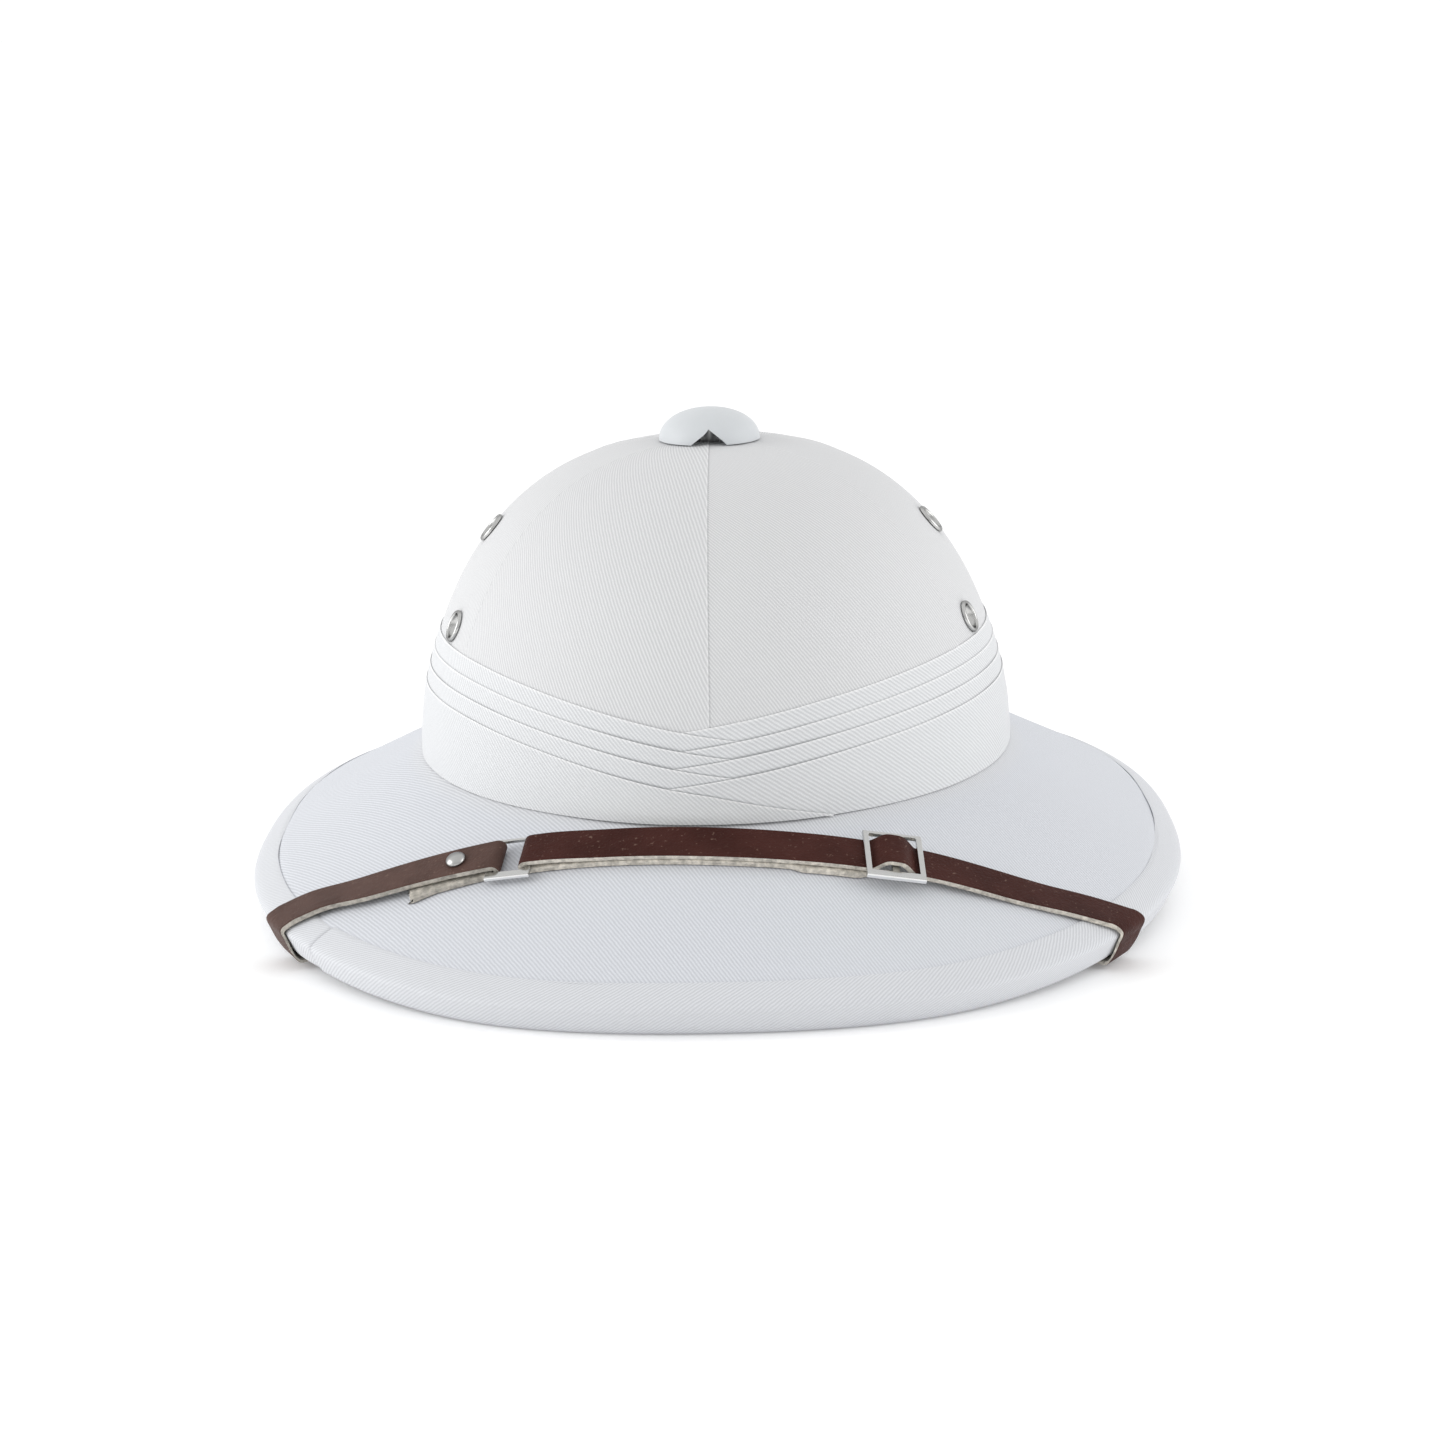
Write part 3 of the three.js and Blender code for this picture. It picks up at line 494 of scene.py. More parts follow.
def twill(name, base, pitch=1.0, depth=0.07, lower=None, folds=None):
    """Woven cotton: slanted ribs broken into short floats, on the piece's own cloth coordinates in mm, with
    painted shade between the ribs.
    lower is the brim's colour; folds gives the shares of a painted highlight on a fold's edge and of a
    painted shade above a covering fold."""
    material, tree, shader = node_tree(name)
    link = tree.links.new
    uv = add(tree, "ShaderNodeUVMap", uv_map="weave").outputs[0]
    split = add(tree, "ShaderNodeSeparateXYZ")
    link(uv, split.inputs[0])
    drift = noise_factor(tree, uv, scale=0.35, detail=3.0, roughness=0.6)
    across = math_node(tree, "ADD", split.outputs["X"], scaled(tree, drift, TWILL_SWAY, -TWILL_SWAY / 2))
    per_mm = 2 * math.pi / pitch
    rib = scaled(tree, math_node(tree, "SINE", math_node(tree, "MULTIPLY", across, per_mm)), 0.5, 0.5)
    slant = math_node(tree, "MULTIPLY", across, per_mm * FLOAT_SLANT)
    step = scaled(tree, split.outputs["Y"], per_mm / FLOAT_PITCH, slant)
    floats = scaled(tree, math_node(tree, "SINE", step), 0.5, 0.5)
    grit = noise_factor(tree, uv, scale=1.9, detail=2.0, roughness=0.7)
    height = math_node(tree, "MULTIPLY", rib, scaled(tree, floats, 0.3, 0.7))
    height = math_node(tree, "MULTIPLY", height, scaled(tree, grit, 1.0, 0.5))
    bumped(tree, shader, height, 1.0, depth)
    body = base
    where = object_place(tree)
    if lower is not None:
        low_down = add(tree, "ShaderNodeSeparateXYZ")
        link(where, low_down.inputs[0])
        body = ramp(tree, scaled(tree, low_down.outputs["Z"], 200.0, -8.0, clamp=True), lower, base)
    cloud = noise_factor(tree, where, scale=18.0, detail=4.0, roughness=0.6)
    body = ramp(tree, math_node(tree, "MULTIPLY", cloud, STAIN_SHARE), body, STAIN)
    # Painted highlight near a fold's edge and painted shade above a covering fold, read from the fold
    # attribute
    if folds is not None:
        near = add(tree, "ShaderNodeSeparateXYZ")
        link(add(tree, "ShaderNodeAttribute", attribute_name="fold").outputs["Vector"], near.inputs[0])
        edge = scaled(tree, near.outputs["X"], -1 / FOLD_HIGHLIGHT_WIDTH, 1.0, clamp=True)
        under = scaled(tree, near.outputs["Y"], -1 / FOLD_SHADE, 1.0, clamp=True)
        body = ramp(tree, math_node(tree, "MULTIPLY", edge, folds[0]), body, FOLD_HIGHLIGHT_COLOUR)
        body = ramp(tree, math_node(tree, "MULTIPLY", under, folds[1]), body, FOLD_SHADE_COLOUR)
    # Painted shade in the weave: the colour is multiplied down towards TWILL_SHADE where the ribs are low
    weave_valley_shade = add(tree, "ShaderNodeMix", data_type="RGBA", blend_type="MULTIPLY")
    first, second = [socket for socket in weave_valley_shade.inputs if socket.type == "RGBA"]
    link(body, first)
    second.default_value = (TWILL_SHADE, TWILL_SHADE, TWILL_SHADE * 1.005, 1)
    link(math_node(tree, "SUBTRACT", 1.0, height, clamp=True), weave_valley_shade.inputs["Factor"])
    link([socket for socket in weave_valley_shade.outputs if socket.type == "RGBA"][0], shader.inputs["Base Color"])
    shader.inputs["Roughness"].default_value = 0.88
    shader.inputs["Sheen Weight"].default_value = 0.08
    shader.inputs["Sheen Roughness"].default_value = 0.5
    return material


def leather_grain(name, base):
    material, tree, shader = node_tree(name)
    link = tree.links.new
    where = object_place(tree)
    pores = add(tree, "ShaderNodeTexVoronoi", Scale=1400.0)
    link(where, pores.inputs["Vector"])
    crease = noise_factor(tree, where, scale=420.0, detail=5.0, roughness=0.65)
    cloud = noise_factor(tree, where, scale=60.0, detail=4.0, roughness=0.6)
    bumped(tree, shader, scaled(tree, pores.outputs["Distance"], 0.6, crease), 0.9, 0.2)
    light = tuple(min(1, c * 1.9 + 0.012) for c in base)
    body = ramp(tree, cloud, shaded(base, 0.55), light)
    spots = scaled(tree, noise_factor(tree, where, scale=900.0, detail=2.0), 9.0, -5.8, clamp=True)
    worn = ramp(tree, math_node(tree, "MULTIPLY", spots, SPECK_SHARE), body, SPECK)
    link(worn, shader.inputs["Base Color"])
    link(scaled(tree, crease, 0.25, 0.38), shader.inputs["Roughness"])
    shader.inputs["Specular IOR Level"].default_value = 0.07
    return material


def leather_flesh(name, base):
    material, tree, shader = node_tree(name)
    where = object_place(tree)
    fibre = noise_factor(tree, where, scale=1500.0, detail=6.0, roughness=0.75)
    clump = noise_factor(tree, where, scale=500.0, detail=3.0, roughness=0.6)
    bumped(tree, shader, math_node(tree, "ADD", fibre, clump), 1.0, 0.35)
    light = tuple(min(1, c * 1.3) for c in base)
    body = ramp(tree, scaled(tree, clump, 3.2, -1.1, clamp=True), shaded(base, 0.68), light)
    tree.links.new(body, shader.inputs["Base Color"])
    shader.inputs["Roughness"].default_value = 0.95
    return material


def metal(name, base, rough, scratch=0.12, rolled=False):
    """Plated metal; with rolled set, a painted shade darkens the colour where the surface turns away from the
    view, so a rolled edge shows a bright crest between darker flanks.
    """
    material, tree, shader = node_tree(name)
    wear = noise_factor(tree, object_place(tree), scale=700.0, detail=4.0, roughness=0.7)
    tree.links.new(scaled(tree, wear, scratch, rough - scratch / 2), shader.inputs["Roughness"])
    body = ramp(tree, wear, shaded(base, 0.86), base)
    if rolled:
        # Painted shade: the colour darkens where the surface turns away from the view
        facing = add(tree, "ShaderNodeLayerWeight", Blend=0.5).outputs["Facing"]
        body = ramp(tree, scaled(tree, facing, 2.6, -0.9, clamp=True), body, shaded(base, 0.25))
    tree.links.new(body, shader.inputs["Base Color"])
    shader.inputs["Metallic"].default_value = 1.0
    bumped(tree, shader, wear, 0.25, 0.02)
    return material


def paint(name, base):
    material, tree, shader = node_tree(name)
    peel = noise_factor(tree, object_place(tree), scale=260.0, detail=3.0)
    bumped(tree, shader, peel, 0.3, 0.05)
    tree.links.new(ramp(tree, peel, shaded(base, 0.97), base), shader.inputs["Base Color"])
    shader.inputs["Roughness"].default_value = 0.45
    shader.inputs["Specular IOR Level"].default_value = 0.4
    return material


# Shell

GORES = 6
GORE_COLUMNS = 16
SEAM_BEFORE = [(5.0, 0.0), (3.0, 0.25), (1.4, 0.7), (0.5, 1.0), (0.1, 0.8)]
SEAM_AFTER = [(0.08, 0.0), (0.8, 0.0), (2.2, 0.0)]
SEAM_SHARES = [1.0, 0.7, 0.8, 0.8, 0.8, 0.25]
TWILL_ON_GORE = -33
TWILL_ON_BRIM = 29
BRIM_STRETCH = 1.14
CROWN_STEPS = 46
BRIM_SHARES = np.linspace(0, 1, 26)[1:-4]
UNDER_SHARES = np.linspace(0, 1, 20)[1:]
LEAST_RADIUS = 12.0
EYELET_ROOM = 0.75


class HELMET_OT_shell(bpy.types.Operator):
    """Models the hollow crown of six lapped gores and the sloping brim"""
    bl_idname = "helmet.shell"
    bl_label = "Add Shell"

    def execute(self, context):
        s = sizes("shell")
        columns = []
        for gore in range(GORES):
            columns += [(gore, mm, None, share) for mm, share in SEAM_AFTER]
            columns += [(gore, 0.0, k / GORE_COLUMNS, 0.0) for k in range(1, GORE_COLUMNS)]
            columns += [(gore + 1, -mm, None, share) for mm, share in SEAM_BEFORE]
        arc = 360 / GORES
        start = np.array([c[0] for c in columns], float) * arc
        offset = np.array([c[1] for c in columns])
        is_mid = np.array([c[2] is not None for c in columns])
        between = np.array([0.0 if c[2] is None else c[2] for c in columns])
        raised = np.array([c[3] * SEAM_SHARES[c[0] % GORES] for c in columns])
        first = max(mm for mm, _ in SEAM_AFTER)
        last = max(mm for mm, _ in SEAM_BEFORE)

        def turns_at(radius):
            per_mm = np.degrees(1 / np.maximum(radius, LEAST_RADIUS))
            seam = start + offset * per_mm
            low = start + first * per_mm
            high = start + arc - last * per_mm
            return np.where(is_mid, mix(low, high, between), seam)

        rows, turn_at, is_crown = [], [], []

        def add_row(point, turn, crown=False):
            rows.append(point)
            turn_at.append(turn)
            is_crown.append(crown)

        def crown_rows(wall, downwards):
            order = range(CROWN_STEPS + 1) if downwards else range(CROWN_STEPS, -1, -1)
            half = (s.half_width + s.half_length) / 2 - wall
            hole = math.asin(min(1.0, (s.air_hole / half) ** (SIDE_POWER / 2)))
            for k in order:
                theta = mix(hole, math.pi / 2, k / CROWN_STEPS)
                scale = math.sin(theta) ** (2 / SIDE_POWER)
                height = (s.height - wall) * max(math.cos(theta), 0) ** (2 / TOP_POWER)
                turn = turns_at(scale * half)
                point = crown_point(turn, height, 0.0, wall)
                if k == 0:
                    flat = np.linalg.norm(point[:, :2], axis=1, keepdims=True)
                    point[:, :2] *= s.air_hole / flat
                if wall == 0:
                    point += crown_normal(point) * (raised * s.seam_rise)[:, None]
                add_row(point, turn, crown=True)

        even = turns_at((s.half_width + s.half_length) / 2)
        crown_rows(0.0, True)
        for share in BRIM_SHARES:
            add_row(brim_point(even, share + 0 * even), even)
        skin = edge_rows(even, 0.0)
        back = edge_rows(even, BINDING_LIFT)
        add_row(edge_point(even, skin["inner"]), even)
        for key in ("near_ridge", "ridge", "face", "foot", "heel"):
            add_row(edge_point(even, back[key]), even)
        run = np.linalg.norm(plan_point(even, 1.0) - plan_point(even, 0.0), axis=-1)
        drop = s.base - brim_height(even, 1.0)
        wall_down = s.wall * np.hypot(run, drop) / run

        def underside(plan):
            turn, share = brim_place(plan[:, 0], plan[:, 1])
            return np.concatenate([plan, (brim_height(turn, share) - wall_down)[:, None]], axis=1)

        lip_top = underside(edge_point(even, back["heel"])[:, :2])
        add_row(lip_top, even)
        inner_base = underside(crown_point(even, 0.0, 0.0, s.wall)[:, :2])
        for share in UNDER_SHARES:
            add_row(underside(mix(lip_top[:, :2], inner_base[:, :2], share)), even)
        crown_rows(s.wall, False)
        points = np.stack(rows, axis=1)
        turn_at, is_crown = np.array(turn_at), np.array(is_crown)
        # Painted highlight along the raised edge before each seam and a painted shadow line after it:
        # distances (mm) for the twill, widened on seams that show less
        shown = np.array([SEAM_SHARES[c[0] % GORES] for c in columns])
        marks = np.full((len(columns), len(rows), 2), FAR)
        marks[np.ix_(offset < 0, is_crown, [0])] = (-offset / shown)[offset < 0, None, None]
        marks[np.ix_(offset > 0, is_crown, [1])] = (offset / shown)[offset > 0, None, None]
        along = np.concatenate([[0], np.cumsum(np.linalg.norm(np.diff(points[0], axis=0), axis=1))])
        radius = np.linalg.norm(points[:, :, :2], axis=2).mean(0)
        count = len(columns)
        per_gore = count // GORES

        def weave(column, row, i, j):
            jj = j % len(rows)
            gore = (column // per_gore) % GORES
            turned = turn_at[jj, i % count] + np.where(i >= count, 360.0, 0.0)
            side = np.radians(turned - (gore + 0.5) * arc) * radius[jj]
            down = along[jj]
            tilt = math.radians(TWILL_ON_GORE)
            u1 = side * math.cos(tilt) + down * math.sin(tilt)
            v1 = -side * math.sin(tilt) + down * math.cos(tilt)
            x, y = points[i % count, jj, 0], points[i % count, jj, 1] * BRIM_STRETCH
            tilt = math.radians(TWILL_ON_BRIM)
            u2 = x * math.cos(tilt) + y * math.sin(tilt)
            v2 = -x * math.sin(tilt) + y * math.cos(tilt)
            crown = is_crown[row % len(rows)] & is_crown[(row + 1) % len(rows)]
            return np.where(crown, u1, u2), np.where(crown, v1, v2)

        obj = grid_piece("shell_body", points, True, True, weave, angle=32, marks=marks)
        cutters = []
        radius_cut = sizes("metal").eyelet_hole + EYELET_ROOM
        for _, turn, height in EYELETS:
            for side in (-1, 1):
                at = crown_point(np.array(side * turn), height)
                bpy.ops.mesh.primitive_cylinder_add(vertices=32, radius=radius_cut * MM, depth=0.02)
                cutters.append(place(bpy.context.object, on_normal(at, crown_normal(at))))
        cut_with(obj, cutters)
        # Painted highlight share 0.6 and painted shade share 0.45 at the seams
        cloth = twill("White twill", tuple(s.cloth), lower=tuple(s.brim_cloth), folds=(0.6, 0.45))
        finish_piece(obj, "body_twill", cloth, "shell")
        return {"FINISHED"}


# Binding

JOIN_TURN = -49.5
JOIN_RISE = 0.4
JOIN_RUN = 16.0
JOIN_COLUMNS = [0.02, 0.25, 0.6]
BINDING_COLUMNS = 300
TOP_LIFTS = (0.25, 0.52, 0.4)
BACK_LIFTS = (0.92, 0.95, 0.6)
WAVES = [(0.22, 23.0, 0.0), (0.16, 9.1, 1.0)]
WAVE_SHARES = np.array([1, 1, 0.8])
TWILL_ON_BINDING = 52
BINDING_TINT = 0.6


def corner_cut(points, rounds):
    """Rounds an open line of points by cutting its corners; the ends stay."""
    for _ in range(rounds):
        a, b = points[:, :-1], points[:, 1:]
        cut = np.stack([mix(a, b, 0.25), mix(a, b, 0.75)], axis=2).reshape(len(points), -1, points.shape[-1])
        points = np.concatenate([points[:, :1], cut[:, 1:-1], points[:, -1:]], axis=1)
    return points


class HELMET_OT_binding(bpy.types.Operator):
    """Models the cloth strip that is folded round the brim's edge"""
    bl_idname = "helmet.binding"
    bl_label = "Add Edge Binding"

    def execute(self, context):
        even = 360 / BINDING_COLUMNS * np.arange(1, BINDING_COLUMNS)
        first, last = JOIN_TURN + np.array(JOIN_COLUMNS), JOIN_TURN + 360 - JOIN_COLUMNS[0]
        turn = np.concatenate([first, JOIN_TURN + even, [last]])
        line = edge_point(turn, edge_rows(turn, 0.0)["ridge"])
        arc = np.concatenate([[0], np.cumsum(np.linalg.norm(np.diff(line, axis=0), axis=1))])
        left = arc[-1] - arc
        rise = JOIN_RISE * smooth(1 - left / JOIN_RUN)

        def pairs(depth, lifts):
            rows = edge_rows(turn, depth)
            keys = ("inner", "near_ridge", "ridge", "face", "foot", "heel", "under")
            out = [np.stack(np.broadcast_arrays(*rows[k]), axis=-1) for k in keys]
            inner = out[0].copy()
            inner[:, 1] += lifts[0]
            near = mix(out[0], out[1], 0.16)
            near[:, 1] += lifts[1]
            middle = mix(out[0], out[1], 0.5)
            middle[:, 1] += lifts[2]
            return np.stack([inner, near, middle, *out[1:]], axis=1)

        outer = corner_cut(pairs(0.0, TOP_LIFTS), 3)
        inner = corner_cut(pairs(BINDING, BACK_LIFTS), 2)[:, ::-1]
        wobble = sum(height * np.sin(arc / length + phase) for height, length, phase in WAVES)
        outer[:, :3, 0] += wobble[:, None] * WAVE_SHARES
        inner[:, -3:, 0] += wobble[:, None] * WAVE_SHARES[::-1]
        loop = np.concatenate([outer, inner], axis=1)
        steps = np.linalg.norm(np.diff(loop, axis=1), axis=2)
        across = np.concatenate([np.zeros((len(turn), 1)), np.cumsum(steps, axis=1)], axis=1)
        rows = loop.shape[1]
        points = np.stack([edge_point(turn, (loop[:, k, 0], loop[:, k, 1])) for k in range(rows)], axis=1)
        body = outer.shape[1]
        normal = np.gradient(points, axis=1)
        along = np.gradient(points, axis=0)
        normal = np.cross(along, normal)
        normal /= np.maximum(np.linalg.norm(normal, axis=-1, keepdims=True), 1e-9)
        points[:, :body] += normal[:, :body] * rise[:, None, None]

        def weave(column, row, i, j):
            tilt = math.radians(TWILL_ON_BINDING)
            u, v = arc[i % len(arc)], across[i % len(arc), j % rows]
            return u * math.cos(tilt) + v * math.sin(tilt), -u * math.sin(tilt) + v * math.cos(tilt)

        obj = grid_piece("bound_edge", points, False, True, weave, angle=50)
        cap_ends(obj)
        s = sizes("shell")
        colour_between = tuple(mix(np.array(s.cloth), np.array(s.brim_cloth), BINDING_TINT))
        cloth = twill("Binding twill", colour_between, pitch=0.92, depth=0.05)
        finish_piece(obj, "binding_twill", cloth, "brim_binding")
        return {"FINISHED"}


# Wrap

PLEATS = 4
WRAP_DIPS = [(0, 0.7), (10, 0.765), (20, 0.835), (35, 0.915), (50, 0.97), (68, 1.0), (180, 1.0)]
RIGHT_DROPS = [0.0, 5.2, 9.7, 15.0]
LEFT_DROPS = [2.6, 7.8, 13.0, 18.8]
CROSS_SLOPE = 0.25
LAST_END = 22
FRONT_ARC = 60
HIDDEN_STOP = 26
PLEAT_SEAT = 0.15
PLEAT_SHARES = [0.0, 0.03, 0.08, 0.15, 0.24, 0.36, 0.5, 0.62, 0.74, 0.84, 0.92, 1.0]
LAST_SHARES = [0.0, 0.008, 0.025, 0.05, 0.09, 0.15, *[0.22 + 0.065 * k for k in range(13)]]
TWILL_ON_WRAP = 52
WRAP_STEP = 0.6
FOLD_REACH = 1.5
COVER_REACH = 0.9
FOLD_ARCH = np.radians([90, 60, 30, 0, -30, -60])


def wrap_top(turn):
    away = np.abs(turn)
    at, share = zip(*WRAP_DIPS)
    spans = (-6, -3, 0, 3, 6)
    soft = sum(np.interp(np.abs(away + d), at, share) for d in spans) / len(spans)
    return sizes("wrap").height * mix(np.interp(away, at, share), soft, smooth((away - 3) / 5))


def pleat_line(turn, side, k):
    """Height of a pleat's folded upper edge; past the front it runs on down under the other side's pleats."""
    w = sizes("wrap")
    front = smooth(1 - np.abs(turn) / FRONT_ARC)
    drop = (RIGHT_DROPS if side > 0 else LEFT_DROPS)[k]
    even = k * w.spacing
    level = wrap_top(turn) - mix(even, drop, front)
    start = WRAP_DIPS[0][1] * w.height - drop
    fall = start / LAST_END if side < 0 and k == PLEATS - 1 else CROSS_SLOPE
    return np.where(turn * side >= 0, level, start - fall * np.abs(turn))


def pleat_stop(side, k):
    """How far past the front a pleat runs, in degrees."""
    return LAST_END if side < 0 and k == PLEATS - 1 else HIDDEN_STOP


class HELMET_OT_wrap(bpy.types.Operator):
    """Models the pleated cloth wrap, whose folds cross at the front"""
    bl_idname = "helmet.wrap"
    bl_label = "Add Pleated Wrap"

    def execute(self, context):
        w = sizes("wrap")
        order = [(side, k) for k in range(PLEATS) for side in (1, -1)]
        pieces = []
        for rank, (side, k) in enumerate(order):
            turn = np.arange(-pleat_stop(side, k), 180.3, WRAP_STEP) * side
            top = pleat_line(turn, side, k)
            cover = np.zeros_like(top)
            for other, m in order[rank + 1:]:
                there = turn * other > -pleat_stop(other, m)
                cover = np.maximum(cover, np.where(there, pleat_line(turn, other, m), 0.0))
            bottom = np.minimum(np.maximum(cover - w.tuck, 0.0), top - 0.6)
            first = max(int(np.argmax(top > cover + 0.02)) - 3, 0)
            edges = [values[first:] for values in (turn, top, bottom, cover)]
            pieces.append(self.ribbon(rank, side, k, *edges))
        deselect()
        for piece in pieces:
            piece.select_set(True)
        bpy.context.view_layer.objects.active = pieces[0]
        bpy.ops.object.join()
        obj = bpy.context.object
        obj.name = "pleated_wrap"
        obj.data.name = "pleated_wrap"
        bpy.ops.object.shade_smooth_by_angle(angle=math.radians(60))
        # Painted highlight share 0.65 on the fold edges and painted shade share 0.5 above the covering folds
        cloth = twill("Wrap twill", tuple(w.cloth), pitch=1.05, folds=(0.65, 0.5))
        finish_piece(obj, "wrap_twill", cloth, "puggaree")
        return {"FINISHED"}

    def ribbon(self, rank, side, k, turn, top, bottom, cover):
        """One pleat from end to end: its rounded fold, its back and its face."""
        w = sizes("wrap")
        front = smooth(1 - np.abs(turn) / FRONT_ARC)
        crossing = smooth(1.25 - np.abs(turn) / HIDDEN_STOP)
        level = mix(2 * k + 0.5, float(rank), front) * mix(w.layer, w.cross_layer, crossing)
        shares = np.array(LAST_SHARES if k == PLEATS - 1 else PLEAT_SHARES)
        height = top[:, None] - shares * (top - bottom)[:, None]
        below = top[:, None] - height
        over = np.where(cover > 0, 1.0, 0.0)[:, None] * np.exp(-np.abs(height - cover[:, None]) / COVER_REACH)
        ripple = np.array([noise.noise(Vector((t * 0.06, k * 3.3, side * 2.0))) for t in turn])[:, None]
        out = PLEAT_SEAT + level[:, None]
        out = out + mix(w.fold, w.cross_fold, crossing)[:, None] * mix(0.3, 1.0, np.exp(-below / FOLD_REACH))
        out = out - w.groove * crossing[:, None] * over
        out = out + 0.05 * np.sin(turn * 0.31 + k)[:, None] * np.sin(below * 0.5)
        out = out + 0.1 * ripple * np.clip(below / 4, 0, 1)
        out = np.maximum(out, w.sheet + 0.08)
        radius = w.sheet / 2
        fold_height = top[:, None] + radius * np.cos(FOLD_ARCH)
        fold_out = out[:, :1] - radius + radius * np.sin(FOLD_ARCH)
        loop_height = np.concatenate([fold_height, height[:, 1:], height[:, :0:-1]], axis=1)
        loop_out = np.concatenate([fold_out, (out - w.sheet)[:, 1:], out[:, :0:-1]], axis=1)
        rows = loop_height.shape[1]
        points = crown_point(np.repeat(turn[:, None], rows, axis=1), loop_height, loop_out)
        line = crown_point(turn, np.maximum(top - 4, 0), 1.0)
        arc = np.concatenate([[0], np.cumsum(np.linalg.norm(np.diff(line, axis=0), axis=1))])
        arc = (arc - np.interp(0.0, turn * side, arc)) * side
        tilt = math.radians(TWILL_ON_WRAP)
        # Distances below the pleat's own fold and above the fold that covers it, for a painted highlight on
        # the fold's edge and a painted shade above the covering fold
        covered = np.where(cover[:, None] > 0, loop_height - cover[:, None], FAR)
        marks = np.stack([top[:, None] - loop_height, covered], axis=-1)

        def weave(column, row, i, j):
            u = arc[i % len(arc)]
            v = loop_height[i % len(arc), j % rows] - top[i % len(arc)] * 0.85 + k * 3.7
            return u * math.cos(tilt) + v * math.sin(tilt), -u * math.sin(tilt) + v * math.cos(tilt)

        obj = grid_piece(f"pleat_{rank}", points, False, True, weave, angle=60, marks=marks)
        return cap_ends(obj)


# Ventilator cap and its post

CAP_POWER = 2.1
NOTCH_WIDTH = 10.4
NOTCH_HEIGHT = 4.8
NOTCHES = 3
NOTCH_FROM, NOTCH_TO = 0.35, 1.2
CAP_SIDES = 96
CAP_STEPS = 18
POST_RADIUS = 3.0
BAR_HEIGHT = 1.6


class HELMET_OT_cap(bpy.types.Operator):
    """Models the painted ventilator cap with its notches, and its hidden post"""
    bl_idname = "helmet.cap"
    bl_label = "Add Ventilator Cap"

    def execute(self, context):
        m = sizes("metal")
        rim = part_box("ventilator_cap")[0].z / MM

        def dome(inset, steps):
            return [((m.cap_radius - inset) * math.sin(t) ** (2 / CAP_POWER),
                     (m.cap_height - inset) * math.cos(t) ** (2 / CAP_POWER) + rim) for t in steps]

        steps = [math.pi / 2 * k / CAP_STEPS for k in range(1, CAP_STEPS)] + [math.pi / 2 - 1e-9]
        outer = [(0.001, rim + m.cap_height)] + dome(0, steps)
        inner = [(0.001, rim + m.cap_height - m.cap_wall)] + dome(m.cap_wall, steps)
        obj = spun("vent_cap", outer + inner[::-1], CAP_SIDES)
        cutters = []
        for k in range(NOTCHES):
            bpy.ops.mesh.primitive_cylinder_add(vertices=3, radius=1, depth=m.cap_radius * MM)
            cutter = bpy.context.object
            shape = [(-NOTCH_WIDTH / 2, -0.2), (NOTCH_WIDTH / 2, -0.2), (0.0, NOTCH_HEIGHT)]
            order = sorted(cutter.data.vertices, key=lambda v: (v.co.x, v.co.y))
            columns = {}
            for v in order:
                columns.setdefault((round(v.co.x, 3), round(v.co.y, 3)), []).append(v)
            for (x, z), pair in zip(shape, columns.values()):
                for v in pair:
                    y = -m.cap_radius * (NOTCH_FROM if v.co.z > 0 else NOTCH_TO)
                    v.co = Vector((x * (1.25 if y < -m.cap_radius else 0.8), y, z + rim)) * MM
            in_edit(cutter, lambda: bpy.ops.mesh.normals_make_consistent(inside=False))
            cutters.append(place(cutter, Matrix.Rotation(2 * math.pi * k / NOTCHES, 4, "Z")))
        cut_with(obj, cutters)
        bevel(obj, 0.25, 2, 40)
        finish_piece(obj, "cap_paint", paint("White paint", tuple(m.paint)), "ventilator_cap")

        low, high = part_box("cap_post")
        bpy.ops.mesh.primitive_cylinder_add(vertices=32, radius=POST_RADIUS * MM, depth=1)
        post = bpy.context.object
        post.name = "cap_post_screw"
        shape = Matrix.Diagonal((1, 1, high.z - low.z - 0.6 * MM, 1))
        place(post, Matrix.Translation((0, 0, (low.z + high.z) / 2)) @ shape)
        bevel(post, 0.4)
        bpy.ops.mesh.primitive_cube_add(size=1)
        bar = bpy.context.object
        shape = Matrix.Diagonal((high.x - low.x, high.y - low.y, BAR_HEIGHT * MM, 1))
        place(bar, Matrix.Translation((0, 0, low.z + BAR_HEIGHT / 2 * MM)) @ shape)
        bevel(bar, 0.4)
        deselect()
        post.select_set(True)
        bar.select_set(True)
        context.view_layer.objects.active = post
        bpy.ops.object.join()
        finish_piece(post, "post_metal", metal("Post metal", (0.6, 0.6, 0.6), 0.4), "cap_post")
        return {"FINISHED"}


# Eyelets


